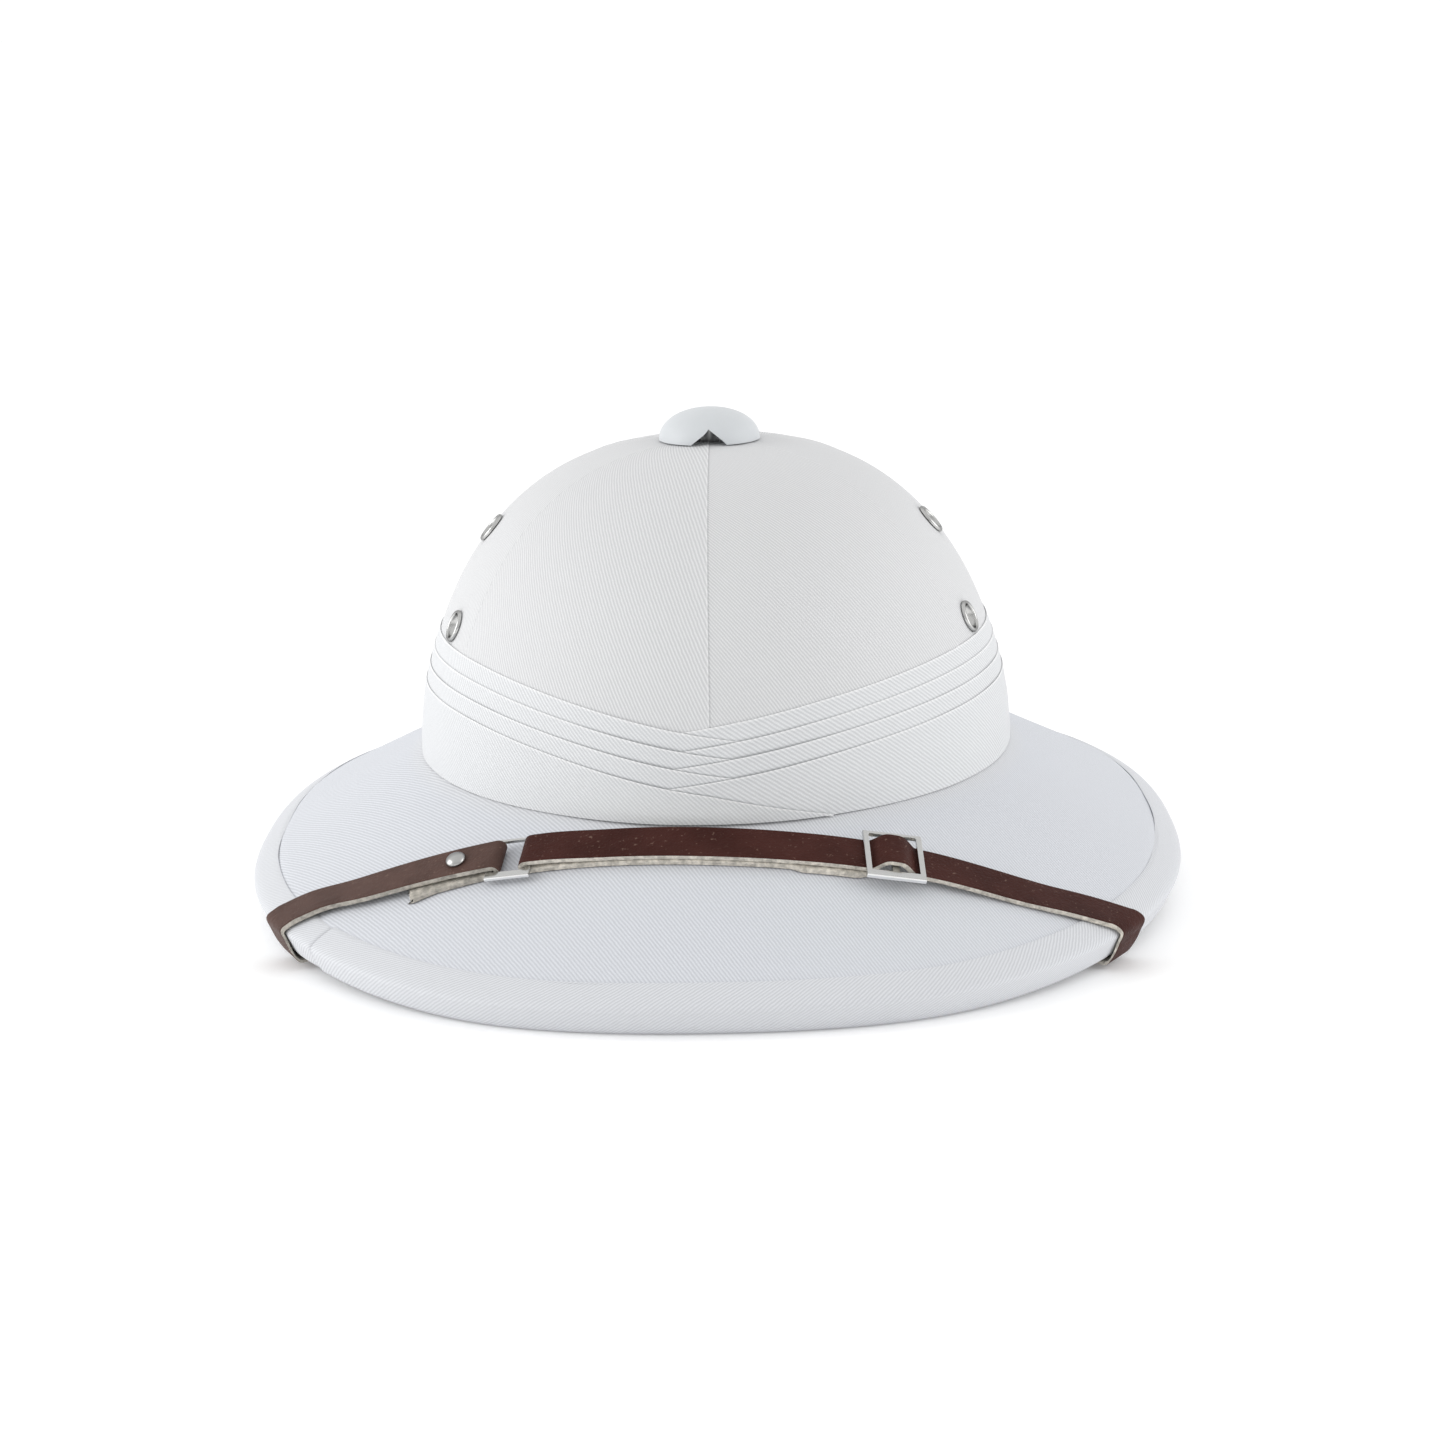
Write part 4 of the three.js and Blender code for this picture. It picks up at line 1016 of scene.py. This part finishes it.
class HELMET_OT_eyelets(bpy.types.Operator):
    """Models the six rolled metal air eyelets"""
    bl_idname = "helmet.eyelets"
    bl_label = "Add Eyelets"

    def execute(self, context):
        m = sizes("metal")
        s = sizes("shell")
        # rolled: painted shade on the eyelets' flanks where they turn away from the view
        look = metal("Eyelet silver", tuple(m.silver), 0.25, rolled=True)
        hole, outer = m.eyelet_hole, m.eyelet_radius
        half = m.eyelet_roll / 2
        tube = np.linspace(0.001, 3.14, 13)
        arch = [(outer - half + half * math.cos(a), 0.1 + 0.95 * math.sin(a) ** 0.8) for a in tube]
        inside = [(outer - 2 * half - 0.35, -0.6), (hole, -1.2), (hole, -s.wall - 0.2)]
        back = [(hole + 0.5, -s.wall - 0.2), (hole + 0.5, -0.9), (outer - 2 * half, -0.1)]
        profile = arch + inside + back
        for label, turn, height in EYELETS:
            for side in (-1, 1):
                at = crown_point(np.array(side * turn), height)
                end = "left" if side < 0 else "right"
                obj = spun(f"air_ring_{label}_{end}", profile, 40, closed=True)
                place(obj, on_normal(at + crown_normal(at) * 0.15, crown_normal(at)))
                finish_piece(obj, "eyelet_metal", look, f"eyelet_{label}_{end}")
        return {"FINISHED"}


# Chin strap

STRAP_FRONT = 109 + 0.3 + 0.75 + 3 * 0.35 + 3.9 + 6
RIM_TURN_LEFT = -58.4
RIM_TURN_RIGHT = 52.0
ANCHOR_TURN = 80.0
ANCHOR_SHARE = 0.2
ANCHOR_TAIL = 8.0
LAYER_GAP = 0.25
LINK = dict(at=-55.8, length=13.6, width=17.2, thickness=1.0, shift=-0.9,
            side=2.0, top=1.0, bottom=2.8, middle=0)
BUCKLE = dict(at=52.0, length=17.2, width=19.6, thickness=1.3, shift=-0.7,
              side=1.7, top=1.1, bottom=2.8, middle=2.2)
TONGUE = 24.5
TONGUE_SLIP = 2.7
TAB_SLIP = 1.0
TAB_FROM, TAB_TO = 23.0, 46.0
LINK_RAMP = 20.0
LONG_RAMP = 40.0
SEAT_RAMP = 18.0
SHORT_FALL = 1.3
BOW = 1.6
SHEAR_FROM = 0.5
WRAP_FROM = 4.0
STRAP_SEAT = 0.2
STRAP_RISE = 0.6
UNDER_GAP = 0.12
RIVET_FROM_FOLD = 11.0
RIVET = (3.0, 2.2)
ANCHOR_DISC = (4.5, 1.6)
SECTION_STEP = 0.55
FRAY_SECTIONS = 14


class Route:
    """Plan route of the strap's middle over the brim: two straight runs bent round the crown's front."""

    def __init__(self):
        left = plan_point(RIM_TURN_LEFT, 1.0)
        right = plan_point(RIM_TURN_RIGHT, 1.0)
        middle = np.array([0.0, -STRAP_FRONT])
        before, after = mix(middle, left, 0.25), mix(middle, right, 0.25)
        t = np.linspace(0, 1, 400)[:, None]
        bend = (1 - t) ** 2 * before + 2 * t * (1 - t) * middle + t ** 2 * after
        path = np.concatenate([mix(left, before, t)[:-1], bend, mix(after, right, t)[1:]])
        arc = np.concatenate([[0], np.cumsum(np.linalg.norm(np.diff(path, axis=0), axis=1))])
        first = np.linalg.norm(before - left)
        bend_length = np.linalg.norm(np.diff(bend, axis=0), axis=1).sum()
        self.path = path
        self.arc = arc - first - bend_length / 2
        self.start, self.end = self.arc[0], self.arc[-1]

    def at(self, distance):
        return np.array([np.interp(distance, self.arc, self.path[:, k]) for k in (0, 1)])

    def heading(self, distance):
        low = max(distance - 0.5, self.start)
        high = min(distance + 0.5, self.end)
        step = self.at(high) - self.at(low)
        return step / np.linalg.norm(step)


def skin_lift(turn, share):
    s = sizes("shell")
    rule = np.linalg.norm(brim_point(turn, 0.0 * turn) - brim_point(turn, 1.0 + 0 * turn), axis=-1)
    back = (1 - share) * rule
    return STRAP_RISE * smooth(1 - (back - s.binding_width) / SEAT_RAMP)


def skin_at(plan):
    """Points of the brim's skin over plan positions, with their normals."""
    def bare(x, y):
        turn, share = brim_place(x, y)
        return brim_height(turn, share), turn, share
    x, y = plan[..., 0], plan[..., 1]
    z, turn, share = bare(x, y)
    e = 0.5
    dx = (bare(x + e, y)[0] - bare(x - e, y)[0]) / (2 * e)
    dy = (bare(x, y + e)[0] - bare(x, y - e)[0]) / (2 * e)
    normal = np.stack([-dx, -dy, np.ones_like(dx)], axis=-1)
    normal /= np.linalg.norm(normal, axis=-1, keepdims=True)
    return np.stack([x, y, z + skin_lift(turn, share)], axis=-1), normal


def strap_frame(route, distance, slip=0.0):
    width = sizes("strap").width
    middle = route.at(distance)
    heading = route.heading(distance)
    across = np.array([-heading[1], heading[0]])
    end = route.start if distance < 0 else route.end
    rim_turn = RIM_TURN_LEFT if distance < 0 else RIM_TURN_RIGHT
    rim = plan_point(rim_turn + 0.5, 1.0) - plan_point(rim_turn - 0.5, 1.0)
    rim /= np.linalg.norm(rim)
    skew = rim @ heading / (rim @ across)
    shear = skew * smooth((distance / end - SHEAR_FROM) / (1 - SHEAR_FROM))
    centre, _ = skin_at(middle)
    toward = skin_at(middle + across)[0][2] - centre[2]
    half = width / math.hypot(1, np.clip(toward, -1, 1)) / 2
    plan = np.array([
        middle + (side * half - slip) * across + side * half * shear * heading for side in (1, -1)])
    edges, normals = skin_at(plan)
    normal = normals.sum(0)
    normal /= np.linalg.norm(normal)
    flat = np.array([heading[0], heading[1], 0.0])
    direction = flat - normal * (flat @ normal)
    return edges, normals, normal, direction / np.linalg.norm(direction), centre


# Rows of the brim's edge that the strap rounds: the row, the way out and up, the extra lift, and the
# distance inside the rim at which the strap keeps to its line (mm)
STRAP_CORNERS = [
    ("near_ridge", 0.42, 0.9, 0.5, 1.6),
    ("ridge", 0.82, 0.57, 0.35, -0.6),
    ("face", 1, -0.15, 0.0, -0.6),
    ("foot", 0.92, -0.4, -0.3, -0.6),
    ("foot", 0.5, -0.87, -0.35, -0.6),
    ("sole", 0, -1, -0.35, -0.6),
    ("heel", -0.3, -0.95, -0.3, -0.6),
    ("heel", -0.7, -0.7, 0.1, -0.6),
]
THIN_END = 0.6
FLESH_OFFSET = 20


def strap_ends(route, end):
    """Edge pairs and facings round the brim's edge and under the brim to the anchor."""
    s = sizes("strap")
    distance = route.start if end < 0 else route.end
    edges = strap_frame(route, distance)[0]
    turns = np.array([float(brim_place(e[0], e[1])[0]) for e in edges])
    outward = plan_point(turns, 1.0, -1.0) - plan_point(turns, 1.0)
    lift = UNDER_GAP + s.thickness / 2
    along = plan_point(turns + 0.5, 1.0) - plan_point(turns - 0.5, 1.0)
    per_mm = 1 / np.linalg.norm(along, axis=1)
    leave = route.heading(distance) * math.copysign(1, end)
    slide = (along * per_mm[:, None]) @ leave / (outward @ leave)
    sections = []
    for key, out, up, more, inside in STRAP_CORNERS:
        there = turns - inside * slide * per_mm
        normal = np.concatenate([outward * out, np.full((2, 1), up)], axis=1)
        normal /= np.linalg.norm(normal, axis=1, keepdims=True)
        point = edge_point(there, edge_rows(there, 0.0)[key])
        sections.append((point + normal * (lift + more), normal * math.copysign(1, end)))
    rows = edge_rows(turns, 0.0)
    heel = edge_point(turns, rows["heel"]).mean(0)
    point, normal = anchor_place(end)
    heading = point - heel
    heading -= normal * (heading @ normal)
    heading /= np.linalg.norm(heading)
    across = np.cross(normal, heading)
    across /= np.linalg.norm(across)
    sign = math.copysign(1, end)
    for along in (-ANCHOR_TAIL, ANCHOR_TAIL):
        pair = np.array([point + across * sign * side * s.width / 2 + heading * along for side in (1, -1)])
        sections.append((pair + normal * lift, np.array([normal, normal]) * sign))
    return sections


def anchor_place(end):
    turn = math.copysign(ANCHOR_TURN, end)
    top = brim_point(np.array([turn]), np.array([ANCHOR_SHARE]))[0]
    _, normal = skin_at(top[:2])
    return top - normal * sizes("shell").wall, -normal


def between(points, facings, step):
    """Even sections along a smooth line through pairs of edge points."""
    points, facings = np.array(points), np.array(facings)
    middle = points.mean(1)
    arc = np.concatenate([[0], np.cumsum(np.linalg.norm(np.diff(middle, axis=0), axis=1))])
    keep = np.concatenate([[True], np.diff(arc) > 1e-6])
    points, facings, arc = points[keep], facings[keep], arc[keep]
    at = np.arange(0, arc[-1], step)
    at = np.append(at, arc[-1])

    def spline(values):
        flat = values.reshape(len(values), -1)
        slope = np.gradient(flat, arc, axis=0)
        k = np.clip(np.searchsorted(arc, at, side="right") - 1, 0, len(arc) - 2)
        h = (arc[k + 1] - arc[k])[:, None]
        t = ((at - arc[k])[:, None]) / h
        a = 2 * t ** 3 - 3 * t ** 2 + 1
        b = t ** 3 - 2 * t ** 2 + t
        c = -2 * t ** 3 + 3 * t ** 2
        d = t ** 3 - t ** 2
        out = a * flat[k] + b * h * slope[k] + c * flat[k + 1] + d * h * slope[k + 1]
        return out.reshape(len(at), *values.shape[1:])

    facing = spline(facings)
    facing /= np.linalg.norm(facing, axis=-1, keepdims=True)
    return spline(points), facing, at


GRAIN_TOP = [(-0.5, 0.30), (-0.5, 0.42), (-0.487, 0.48), (-0.46, 0.5)]
STRAP_ACROSS = [-0.4, -0.3, -0.2, -0.1, 0.0, 0.1, 0.2, 0.3, 0.4]


def strap_profile():
    """Shares of the strap's width and thickness round its section."""
    top = [*GRAIN_TOP, *[(a, 0.5) for a in STRAP_ACROSS], *[(-a, h) for a, h in GRAIN_TOP[::-1]]]
    side = [(0.5, 0.12), (0.5, -0.1), (0.5, -0.3), (0.48, -0.47)]
    bottom = [(-a, -0.5) for a in STRAP_ACROSS]
    other = [(-0.48, -0.47), (-0.5, -0.3), (-0.5, -0.1), (-0.5, 0.12)]
    return np.array(top + side + bottom + other)


def thinned(route, end, arc):
    """Shares of the leather's thickness: it is pared down where it rounds the brim's edge."""
    middle = np.array([pair.mean(0) for pair, _ in strap_ends(route, end)])
    tail = np.linalg.norm(np.diff(middle, axis=0), axis=1).sum()
    return mix(1.0, THIN_END, smooth((arc - arc[-1] + tail - 2) / 5))


def strap_piece(name, sections, facings, arc, thin, outer=1, fray=None):
    """A leather strip through edge pairs, with rough cut edges."""
    s = sizes("strap")
    profile = strap_profile()
    middle = sections.mean(1)
    half = (sections[:, 0] - sections[:, 1]) / 2
    points = np.zeros((len(sections), len(profile), 3))
    for j, (across, up) in enumerate(profile):
        facing = mix(facings[:, 0], facings[:, 1], 0.5 - across)
        facing = facing / np.linalg.norm(facing, axis=1, keepdims=True)
        rough = 0.0
        if abs(across) > 0.45 and up < 0.35:
            key = 1.0 if across > 0 else 2.0
            rough = np.array([
                0.16 * noise.noise(Vector((a * 1.1, up * 3, key * 7)))
                + 0.12 * noise.noise(Vector((a * 3.1, up * 9, key * 3))) for a in arc])
        elif up <= -0.45:
            rough = np.array([0.06 * noise.noise(Vector((a * 1.3, across * 9, 5.5))) for a in arc])
        wide = 2 * across * half
        out = half / np.linalg.norm(half, axis=1, keepdims=True) * math.copysign(1, across)
        raised = facing * (outer * up * s.thickness * thin)[:, None]
        points[:, j] = middle + wide + raised + out * np.asarray(rough)[..., None]
    if fray is not None:
        fray(points, profile)

    def weave(column, row, i, j):
        share, up = profile[j % len(profile)].transpose(2, 0, 1)
        return arc[i % len(arc)], share * s.width + np.where(up < 0, FLESH_OFFSET, 0)

    return grid_piece(name, points, False, True, weave, angle=50)


def dress_strap(obj, grain_look, flesh_look, *nodes):
    """Grain on the outer face and flesh on the rest, by the cloth coordinates of each face."""
    s = sizes("strap")
    cap_ends(obj)
    finish_piece(obj, "strap_leather", grain_look, *nodes)
    obj.data.materials.append(flesh_look)
    mesh = obj.data
    uv = mesh.uv_layers["weave"].data
    grain = s.width / 2 * 1.001
    for face in mesh.polygons:
        side = [uv[k].uv[1] for k in face.loop_indices]
        mean = sum(side) / len(side)
        on_top = max(side) < s.width and min(abs(v) for v in side) < grain * 0.985 and len(side) == 4
        face.material_index = 0 if on_top and abs(mean) < grain else 1
    return obj


def path_sections(route, path):
    """Edge pairs and facings from rows of distance, lift and slip."""
    pairs, facings = [], []
    for (at, lift, slip), before, after in zip(path, path[:1] + path, path[1:] + path[-1:]):
        climb = np.array([after[0] - before[0], after[1] - before[1]])
        climb /= np.linalg.norm(climb)
        edges, normals, normal, direction, _ = strap_frame(route, at, slip)
        facing = normal * climb[0] - direction * climb[1]
        facing /= np.linalg.norm(facing)
        pairs.append(edges + normals * lift)
        facings.append(np.array([facing, facing]))
    return pairs, facings


def strap_levels():
    s = sizes("strap")
    one = STRAP_SEAT + s.thickness / 2
    fold = LINK["thickness"] / 2 + 0.05 + s.thickness / 2
    return one, fold, one + fold, one + s.thickness + LAYER_GAP


def fold_at(way):
    return LINK["at"] + way * (LINK["length"] / 2 - LINK["side"] + CLEARANCE / 2)


def short_lift(route, at):
    """Lift of the short piece's upper layer, which falls evenly from the link to the brim's edge."""
    one, fold_radius, link_lift, _ = strap_levels()
    share = np.clip((fold_at(-1) - at) / (fold_at(-1) - route.start), 0, 1)
    return float(mix(link_lift + fold_radius, one, share ** SHORT_FALL))


def fold_round(at, way):
    _, fold, link_lift, _ = strap_levels()
    return [(at + way * fold * math.cos(math.radians(d)), link_lift + fold * math.sin(math.radians(d)), 0.0)
            for d in (-72, -54, -36, -18, 0, 18, 36, 54, 72)]


def stretch(start, stop, step, row):
    count = max(1, math.ceil(abs(stop - start) / step))
    return [row(mix(start, stop, k / count)) for k in range(count + 1)]


class HELMET_OT_short_strap(bpy.types.Operator):
    """Models the left piece of the chin strap, folded round the link, with its frayed tongue"""
    bl_idname = "helmet.short_strap"
    bl_label = "Add Short Strap"

    def execute(self, context):
        s = sizes("strap")
        route = Route()
        one = strap_levels()[0]
        fold = fold_at(-1)
        tongue_end = fold - TONGUE
        under = stretch(tongue_end, fold, 1.5, lambda at: (
            at, one, TONGUE_SLIP * float(np.clip((fold - at) / TONGUE, 0, 1))))

        path = [*under, *fold_round(fold, 1)]
        path += stretch(fold, route.start + WRAP_FROM, 1.5, lambda at: (
            at, short_lift(route, at), -BOW * math.exp(-((at - route.start - 13) / 9) ** 2)))
        pairs, facings = path_sections(route, path)
        for pair, facing in strap_ends(route, -1):
            pairs.append(pair)
            facings.append(facing)
        sections, facing, arc = between(pairs, facings, SECTION_STEP)

        def fray(points, profile):
            for k in range(FRAY_SECTIONS):
                ragged = 1 - k / FRAY_SECTIONS
                for j, (across, up) in enumerate(profile):
                    pull = 2.2 * noise.noise(Vector((across * 6.0, up * 2, 3.1))) + 0.8 * noise.noise(
                        Vector((across * 19.0, up * 5, 8.0)))
                    along = sections[1].mean(0) - sections[0].mean(0)
                    along /= np.linalg.norm(along)
                    spread = (sections[k, 0] - sections[k, 1]) / 12
                    points[k, j] += along * pull * ragged * 1.2 - spread * ragged * max(0.0, -across) * 3.0

        obj = strap_piece("short_leather", sections, facing, arc, thinned(route, -1, arc), -1, fray)
        grain = leather_grain("Worn leather", tuple(s.worn_grain))
        dress_strap(obj, grain, leather_flesh("Worn flesh", shaded(s.flesh, 0.72)), "short_strap")
        return {"FINISHED"}


class HELMET_OT_long_strap(bpy.types.Operator):
    """Models the right piece of the chin strap, folded round the link and led through the buckle"""
    bl_idname = "helmet.long_strap"
    bl_label = "Add Long Strap"

    def execute(self, context):
        s = sizes("strap")
        route = Route()
        one, fold_radius, link_lift, two = strap_levels()
        fold = fold_at(1)
        off_bar = fold + LINK["side"] + 2 * CLEARANCE
        centre = BUCKLE["at"]
        under_end = centre - BUCKLE["length"] / 4
        buckle_top = two + s.thickness / 2 + STRAP_SEAT + BUCKLE["thickness"]
        hump = buckle_top + CLEARANCE + s.thickness / 2 - two
        flat = BUCKLE["middle"] / 2 + CLEARANCE
        run = BUCKLE["length"] / 2 - BUCKLE["side"] - flat
        clear_of = centre + BUCKLE["length"] / 2 + CLEARANCE
        under = stretch(under_end, fold, 1.5, lambda at: (
            at, one, TAB_SLIP * float(smooth((at - TAB_FROM) / 4) * smooth((TAB_TO - at) / 5))))

        def over(at):
            rise = mix(link_lift + fold_radius, two, smooth((at - off_bar) / LINK_RAMP))
            rise += hump * smooth(1 - (abs(at - centre) - flat) / run)
            return at, float(rise - (two - one) * smooth((at - clear_of + 4) / LONG_RAMP)), 0.0

        path = [*under, *fold_round(fold, -1), over(fold),
                *stretch(off_bar, route.end - WRAP_FROM, 1.2, over)]
        pairs, facings = path_sections(route, path)
        for pair, facing in strap_ends(route, 1):
            pairs.append(pair)
            facings.append(facing)
        sections, facing, arc = between(pairs, facings, SECTION_STEP)
        obj = strap_piece("long_leather", sections, facing, arc, thinned(route, 1, arc))
        grain = leather_grain("Brown leather", tuple(s.grain))
        dress_strap(obj, grain, leather_flesh("Long leather flesh", tuple(s.flesh)), "long_strap")
        return {"FINISHED"}


# Link, buckle and rivets


def bar_frame(name, form, look, highlight_look):
    """A flat metal frame at the origin, cut from a block; its lower bar takes a brighter copy of the metal, a
    painted highlight.
    """
    length, width, thickness, middle = (form[k] for k in ("length", "width", "thickness", "middle"))
    deselect()
    bpy.ops.mesh.primitive_cube_add(size=1)
    obj = bpy.context.object
    obj.name = name
    obj.data.name = name
    place(obj, Matrix.Diagonal((length * MM, width * MM, thickness * MM, 1)))
    parts = 2 if middle else 1
    gap = (length - 2 * form["side"] - middle) / parts
    high = width - form["top"] - form["bottom"]
    cutters = []
    for side in ((-1, 1) if middle else (0,)):
        bpy.ops.mesh.primitive_cube_add(size=1)
        shape = Matrix.Diagonal((gap * MM, high * MM, 4 * thickness * MM, 1))
        at = Vector((side * (gap + middle) / 2, (form["bottom"] - form["top"]) / 2, 0)) * MM
        cutters.append(place(bpy.context.object, Matrix.Translation(at) @ shape))
    cut_with(obj, cutters)
    bevel(obj, 0.22, 2, 30)
    obj.data.materials.clear()
    obj.data.materials.append(look)
    obj.data.materials.append(highlight_look)
    # Painted highlight: the faces of the lower bar take the brighter copy of the metal
    edge = (form["bottom"] * 0.9 - width / 2) * MM
    for face in obj.data.polygons:
        face.material_index = 1 if face.center.y < edge else 0
    return obj


class HELMET_OT_fittings(bpy.types.Operator):
    """Models the link, the slide buckle, the rivet and the two hidden anchor discs"""
    bl_idname = "helmet.fittings"
    bl_label = "Add Link, Buckle and Rivets"

    def execute(self, context):
        m = sizes("metal")
        s = sizes("strap")
        route = Route()
        _, _, link_lift, two = strap_levels()
        bright = metal("Silver", tuple(m.silver), 0.16, 0.06)
        # A brighter copy of the silver, a painted highlight for the lower bars of the link and the buckle
        highlight_look = metal("Silver with painted highlight", (1.0, 1.0, 0.99), 0.3, 0.06)
        # rolled: painted shade on the flanks of the rivet and the anchor discs
        satin = metal("Satin silver", shaded(m.silver, 0.85), 0.3, rolled=True)

        def lay(name, form, lift, node):
            obj = bar_frame(name, form, bright, highlight_look)
            _, _, normal, direction, centre = strap_frame(route, form["at"])
            across = np.cross(normal, direction)
            basis = Matrix([[direction[k], across[k], normal[k]] for k in range(3)]).to_4x4()
            at = Vector(centre + normal * lift + across * form["shift"]) * MM
            place(obj, Matrix.Translation(at) @ basis)
            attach(obj, "root")
            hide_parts(node)

        lay("flat_link", LINK, link_lift, "strap_link")
        buckle_lift = two + s.thickness / 2 + STRAP_SEAT + BUCKLE["thickness"] / 2
        lay("flat_buckle", BUCKLE, buckle_lift, "slide_buckle")

        def dome(name, radius, height):
            profile = [(0.001, 0.0), (radius * 0.82, 0.0)]
            steps = np.linspace(0, math.pi / 2, 12)
            profile += [(radius * math.cos(t), height * (0.22 + 0.78 * math.sin(t))) for t in steps]
            profile[-1] = (0.001, height)
            return spun(name, profile, 40)

        rivet_at = fold_at(-1) - RIVET_FROM_FOLD
        _, _, normal, _, centre = strap_frame(route, rivet_at)
        rivet = dome("rivet_head", *RIVET)
        lift = short_lift(route, rivet_at) + s.thickness / 2 + 0.02
        place(rivet, on_normal(centre + normal * lift, normal))
        finish_piece(rivet, "silver_metal", satin, "strap_rivet")
        for end, label in ((-1, "left"), (1, "right")):
            point, normal = anchor_place(end)
            disc = dome(f"anchor_disc_{label}", *ANCHOR_DISC)
            place(disc, on_normal(point + normal * (UNDER_GAP + s.thickness + 0.1), normal))
            finish_piece(disc, "silver_metal", satin, f"strap_anchor_{label}")
        return {"FINISHED"}


# Stage

CAMERA = dict(focal=3230.0, distance=1002.1, height=287.1,
              around=0.0187, pan=0.0013, tilt=-0.2346, roll=-0.0226)
FRAME_PIXELS = 1440
SENSOR = 36.0


def soft_light(name, location, power, target=(0, 0, 0.06), side=1.1):
    deselect()
    bpy.ops.object.light_add(type="AREA", location=location)
    lamp = bpy.context.object
    lamp.name = name
    lamp.data.name = name
    lamp.data.size = side
    lamp.data.energy = power
    lamp.rotation_euler = (Vector(target) - Vector(location)).to_track_quat("-Z", "Y").to_euler()


class HELMET_OT_stage(bpy.types.Operator):
    """Sets up the floor, the soft lights and the camera"""
    bl_idname = "helmet.stage"
    bl_label = "Add Stage"

    def execute(self, context):
        scene = context.scene
        scene.view_settings.view_transform = "Standard"
        world = bpy.data.worlds.new("Studio")
        scene.world = world
        world.use_nodes = True
        tree = world.node_tree
        backdrop = tree.nodes["Background"]
        way = add(tree, "ShaderNodeTexCoord").outputs["Generated"]
        split = add(tree, "ShaderNodeSeparateXYZ")
        tree.links.new(way, split.inputs[0])
        ahead = math_node(tree, "MULTIPLY", split.outputs["Y"], -1.0, clamp=True)
        low = math_node(tree, "SUBTRACT", 1.0, split.outputs["Z"], clamp=True)
        dim = math_node(tree, "MULTIPLY", ahead, low)
        above = math_node(tree, "MAXIMUM", split.outputs["Z"], 0.0)
        base = math_node(tree, "MULTIPLY_ADD", math_node(tree, "MULTIPLY", above, above), -0.24, 1.1)
        tree.links.new(math_node(tree, "MULTIPLY_ADD", dim, -0.6, base), backdrop.inputs["Strength"])
        backdrop.inputs["Color"].default_value = (1, 1, 1, 1)
        deselect()
        bpy.ops.mesh.primitive_circle_add(vertices=64, radius=12, fill_type="NGON", location=(0, 0, 0))
        floor = context.object
        floor.name = "floor"
        material, tree, shader = node_tree("Pale floor")
        shader.inputs["Base Color"].default_value = (0.96, 0.96, 0.96, 1)
        shader.inputs["Roughness"].default_value = 0.9
        shader.inputs["Emission Color"].default_value = (1, 1, 1, 1)
        shader.inputs["Emission Strength"].default_value = 0.12
        floor.data.materials.append(material)
        soft_light("Left softbox", (-1.5, -0.3, 0.55), 11.0)
        soft_light("Right softbox", (1.5, -0.4, 0.55), 7.0)

        c = CAMERA
        around, away = c["around"], c["distance"]
        location = Vector((away * math.sin(around), -away * math.cos(around), c["height"]))
        a, t = -around + c["pan"], c["tilt"]
        forward = Vector((math.sin(a) * math.cos(t), math.cos(a) * math.cos(t), math.sin(t)))
        right = Vector((math.cos(a), -math.sin(a), 0))
        up = right.cross(forward)
        r, u = (right * math.cos(c["roll"]) + up * math.sin(c["roll"]),
                up * math.cos(c["roll"]) - right * math.sin(c["roll"]))
        bpy.ops.object.camera_add(location=location * MM)
        camera = context.object
        camera.name = "Camera"
        camera.data.sensor_width = SENSOR
        camera.data.lens = c["focal"] / FRAME_PIXELS * SENSOR
        camera.data.clip_start = 0.05
        basis = Matrix([[r[k], u[k], -forward[k]] for k in range(3)])
        camera.rotation_euler = basis.to_euler()
        scene.camera = camera
        return {"FINISHED"}


STEPS = [HELMET_OT_shell, HELMET_OT_binding, HELMET_OT_wrap, HELMET_OT_cap, HELMET_OT_eyelets,
         HELMET_OT_short_strap, HELMET_OT_long_strap, HELMET_OT_fittings, HELMET_OT_stage]


class HELMET_PT_panel(bpy.types.Panel):
    """Lists the helmet's pieces"""
    bl_idname = "HELMET_PT_panel"
    bl_label = "Pith Helmet"
    bl_space_type = "VIEW_3D"
    bl_region_type = "UI"
    bl_category = "Helmet"

    def draw(self, context):
        for key, group in GROUPS.items():
            box = self.layout.box()
            for name in group.__annotations__:
                box.prop(getattr(context.scene, "helmet_" + key), name)
        for step in STEPS:
            self.layout.operator(step.bl_idname)


def register():
    for cls in (*GROUPS.values(), *STEPS, HELMET_PT_panel):
        bpy.utils.register_class(cls)
    for key, group in GROUPS.items():
        setattr(bpy.types.Scene, "helmet_" + key, bpy.props.PointerProperty(type=group))


def unregister():
    for key in GROUPS:
        delattr(bpy.types.Scene, "helmet_" + key)
    for cls in (HELMET_PT_panel, *reversed(STEPS), *reversed(list(GROUPS.values()))):
        bpy.utils.unregister_class(cls)


def main():
    register()
    for step in STEPS:
        family, name = step.bl_idname.split(".")
        getattr(getattr(bpy.ops, family), name)()


if __name__ == "__main__":
    main()
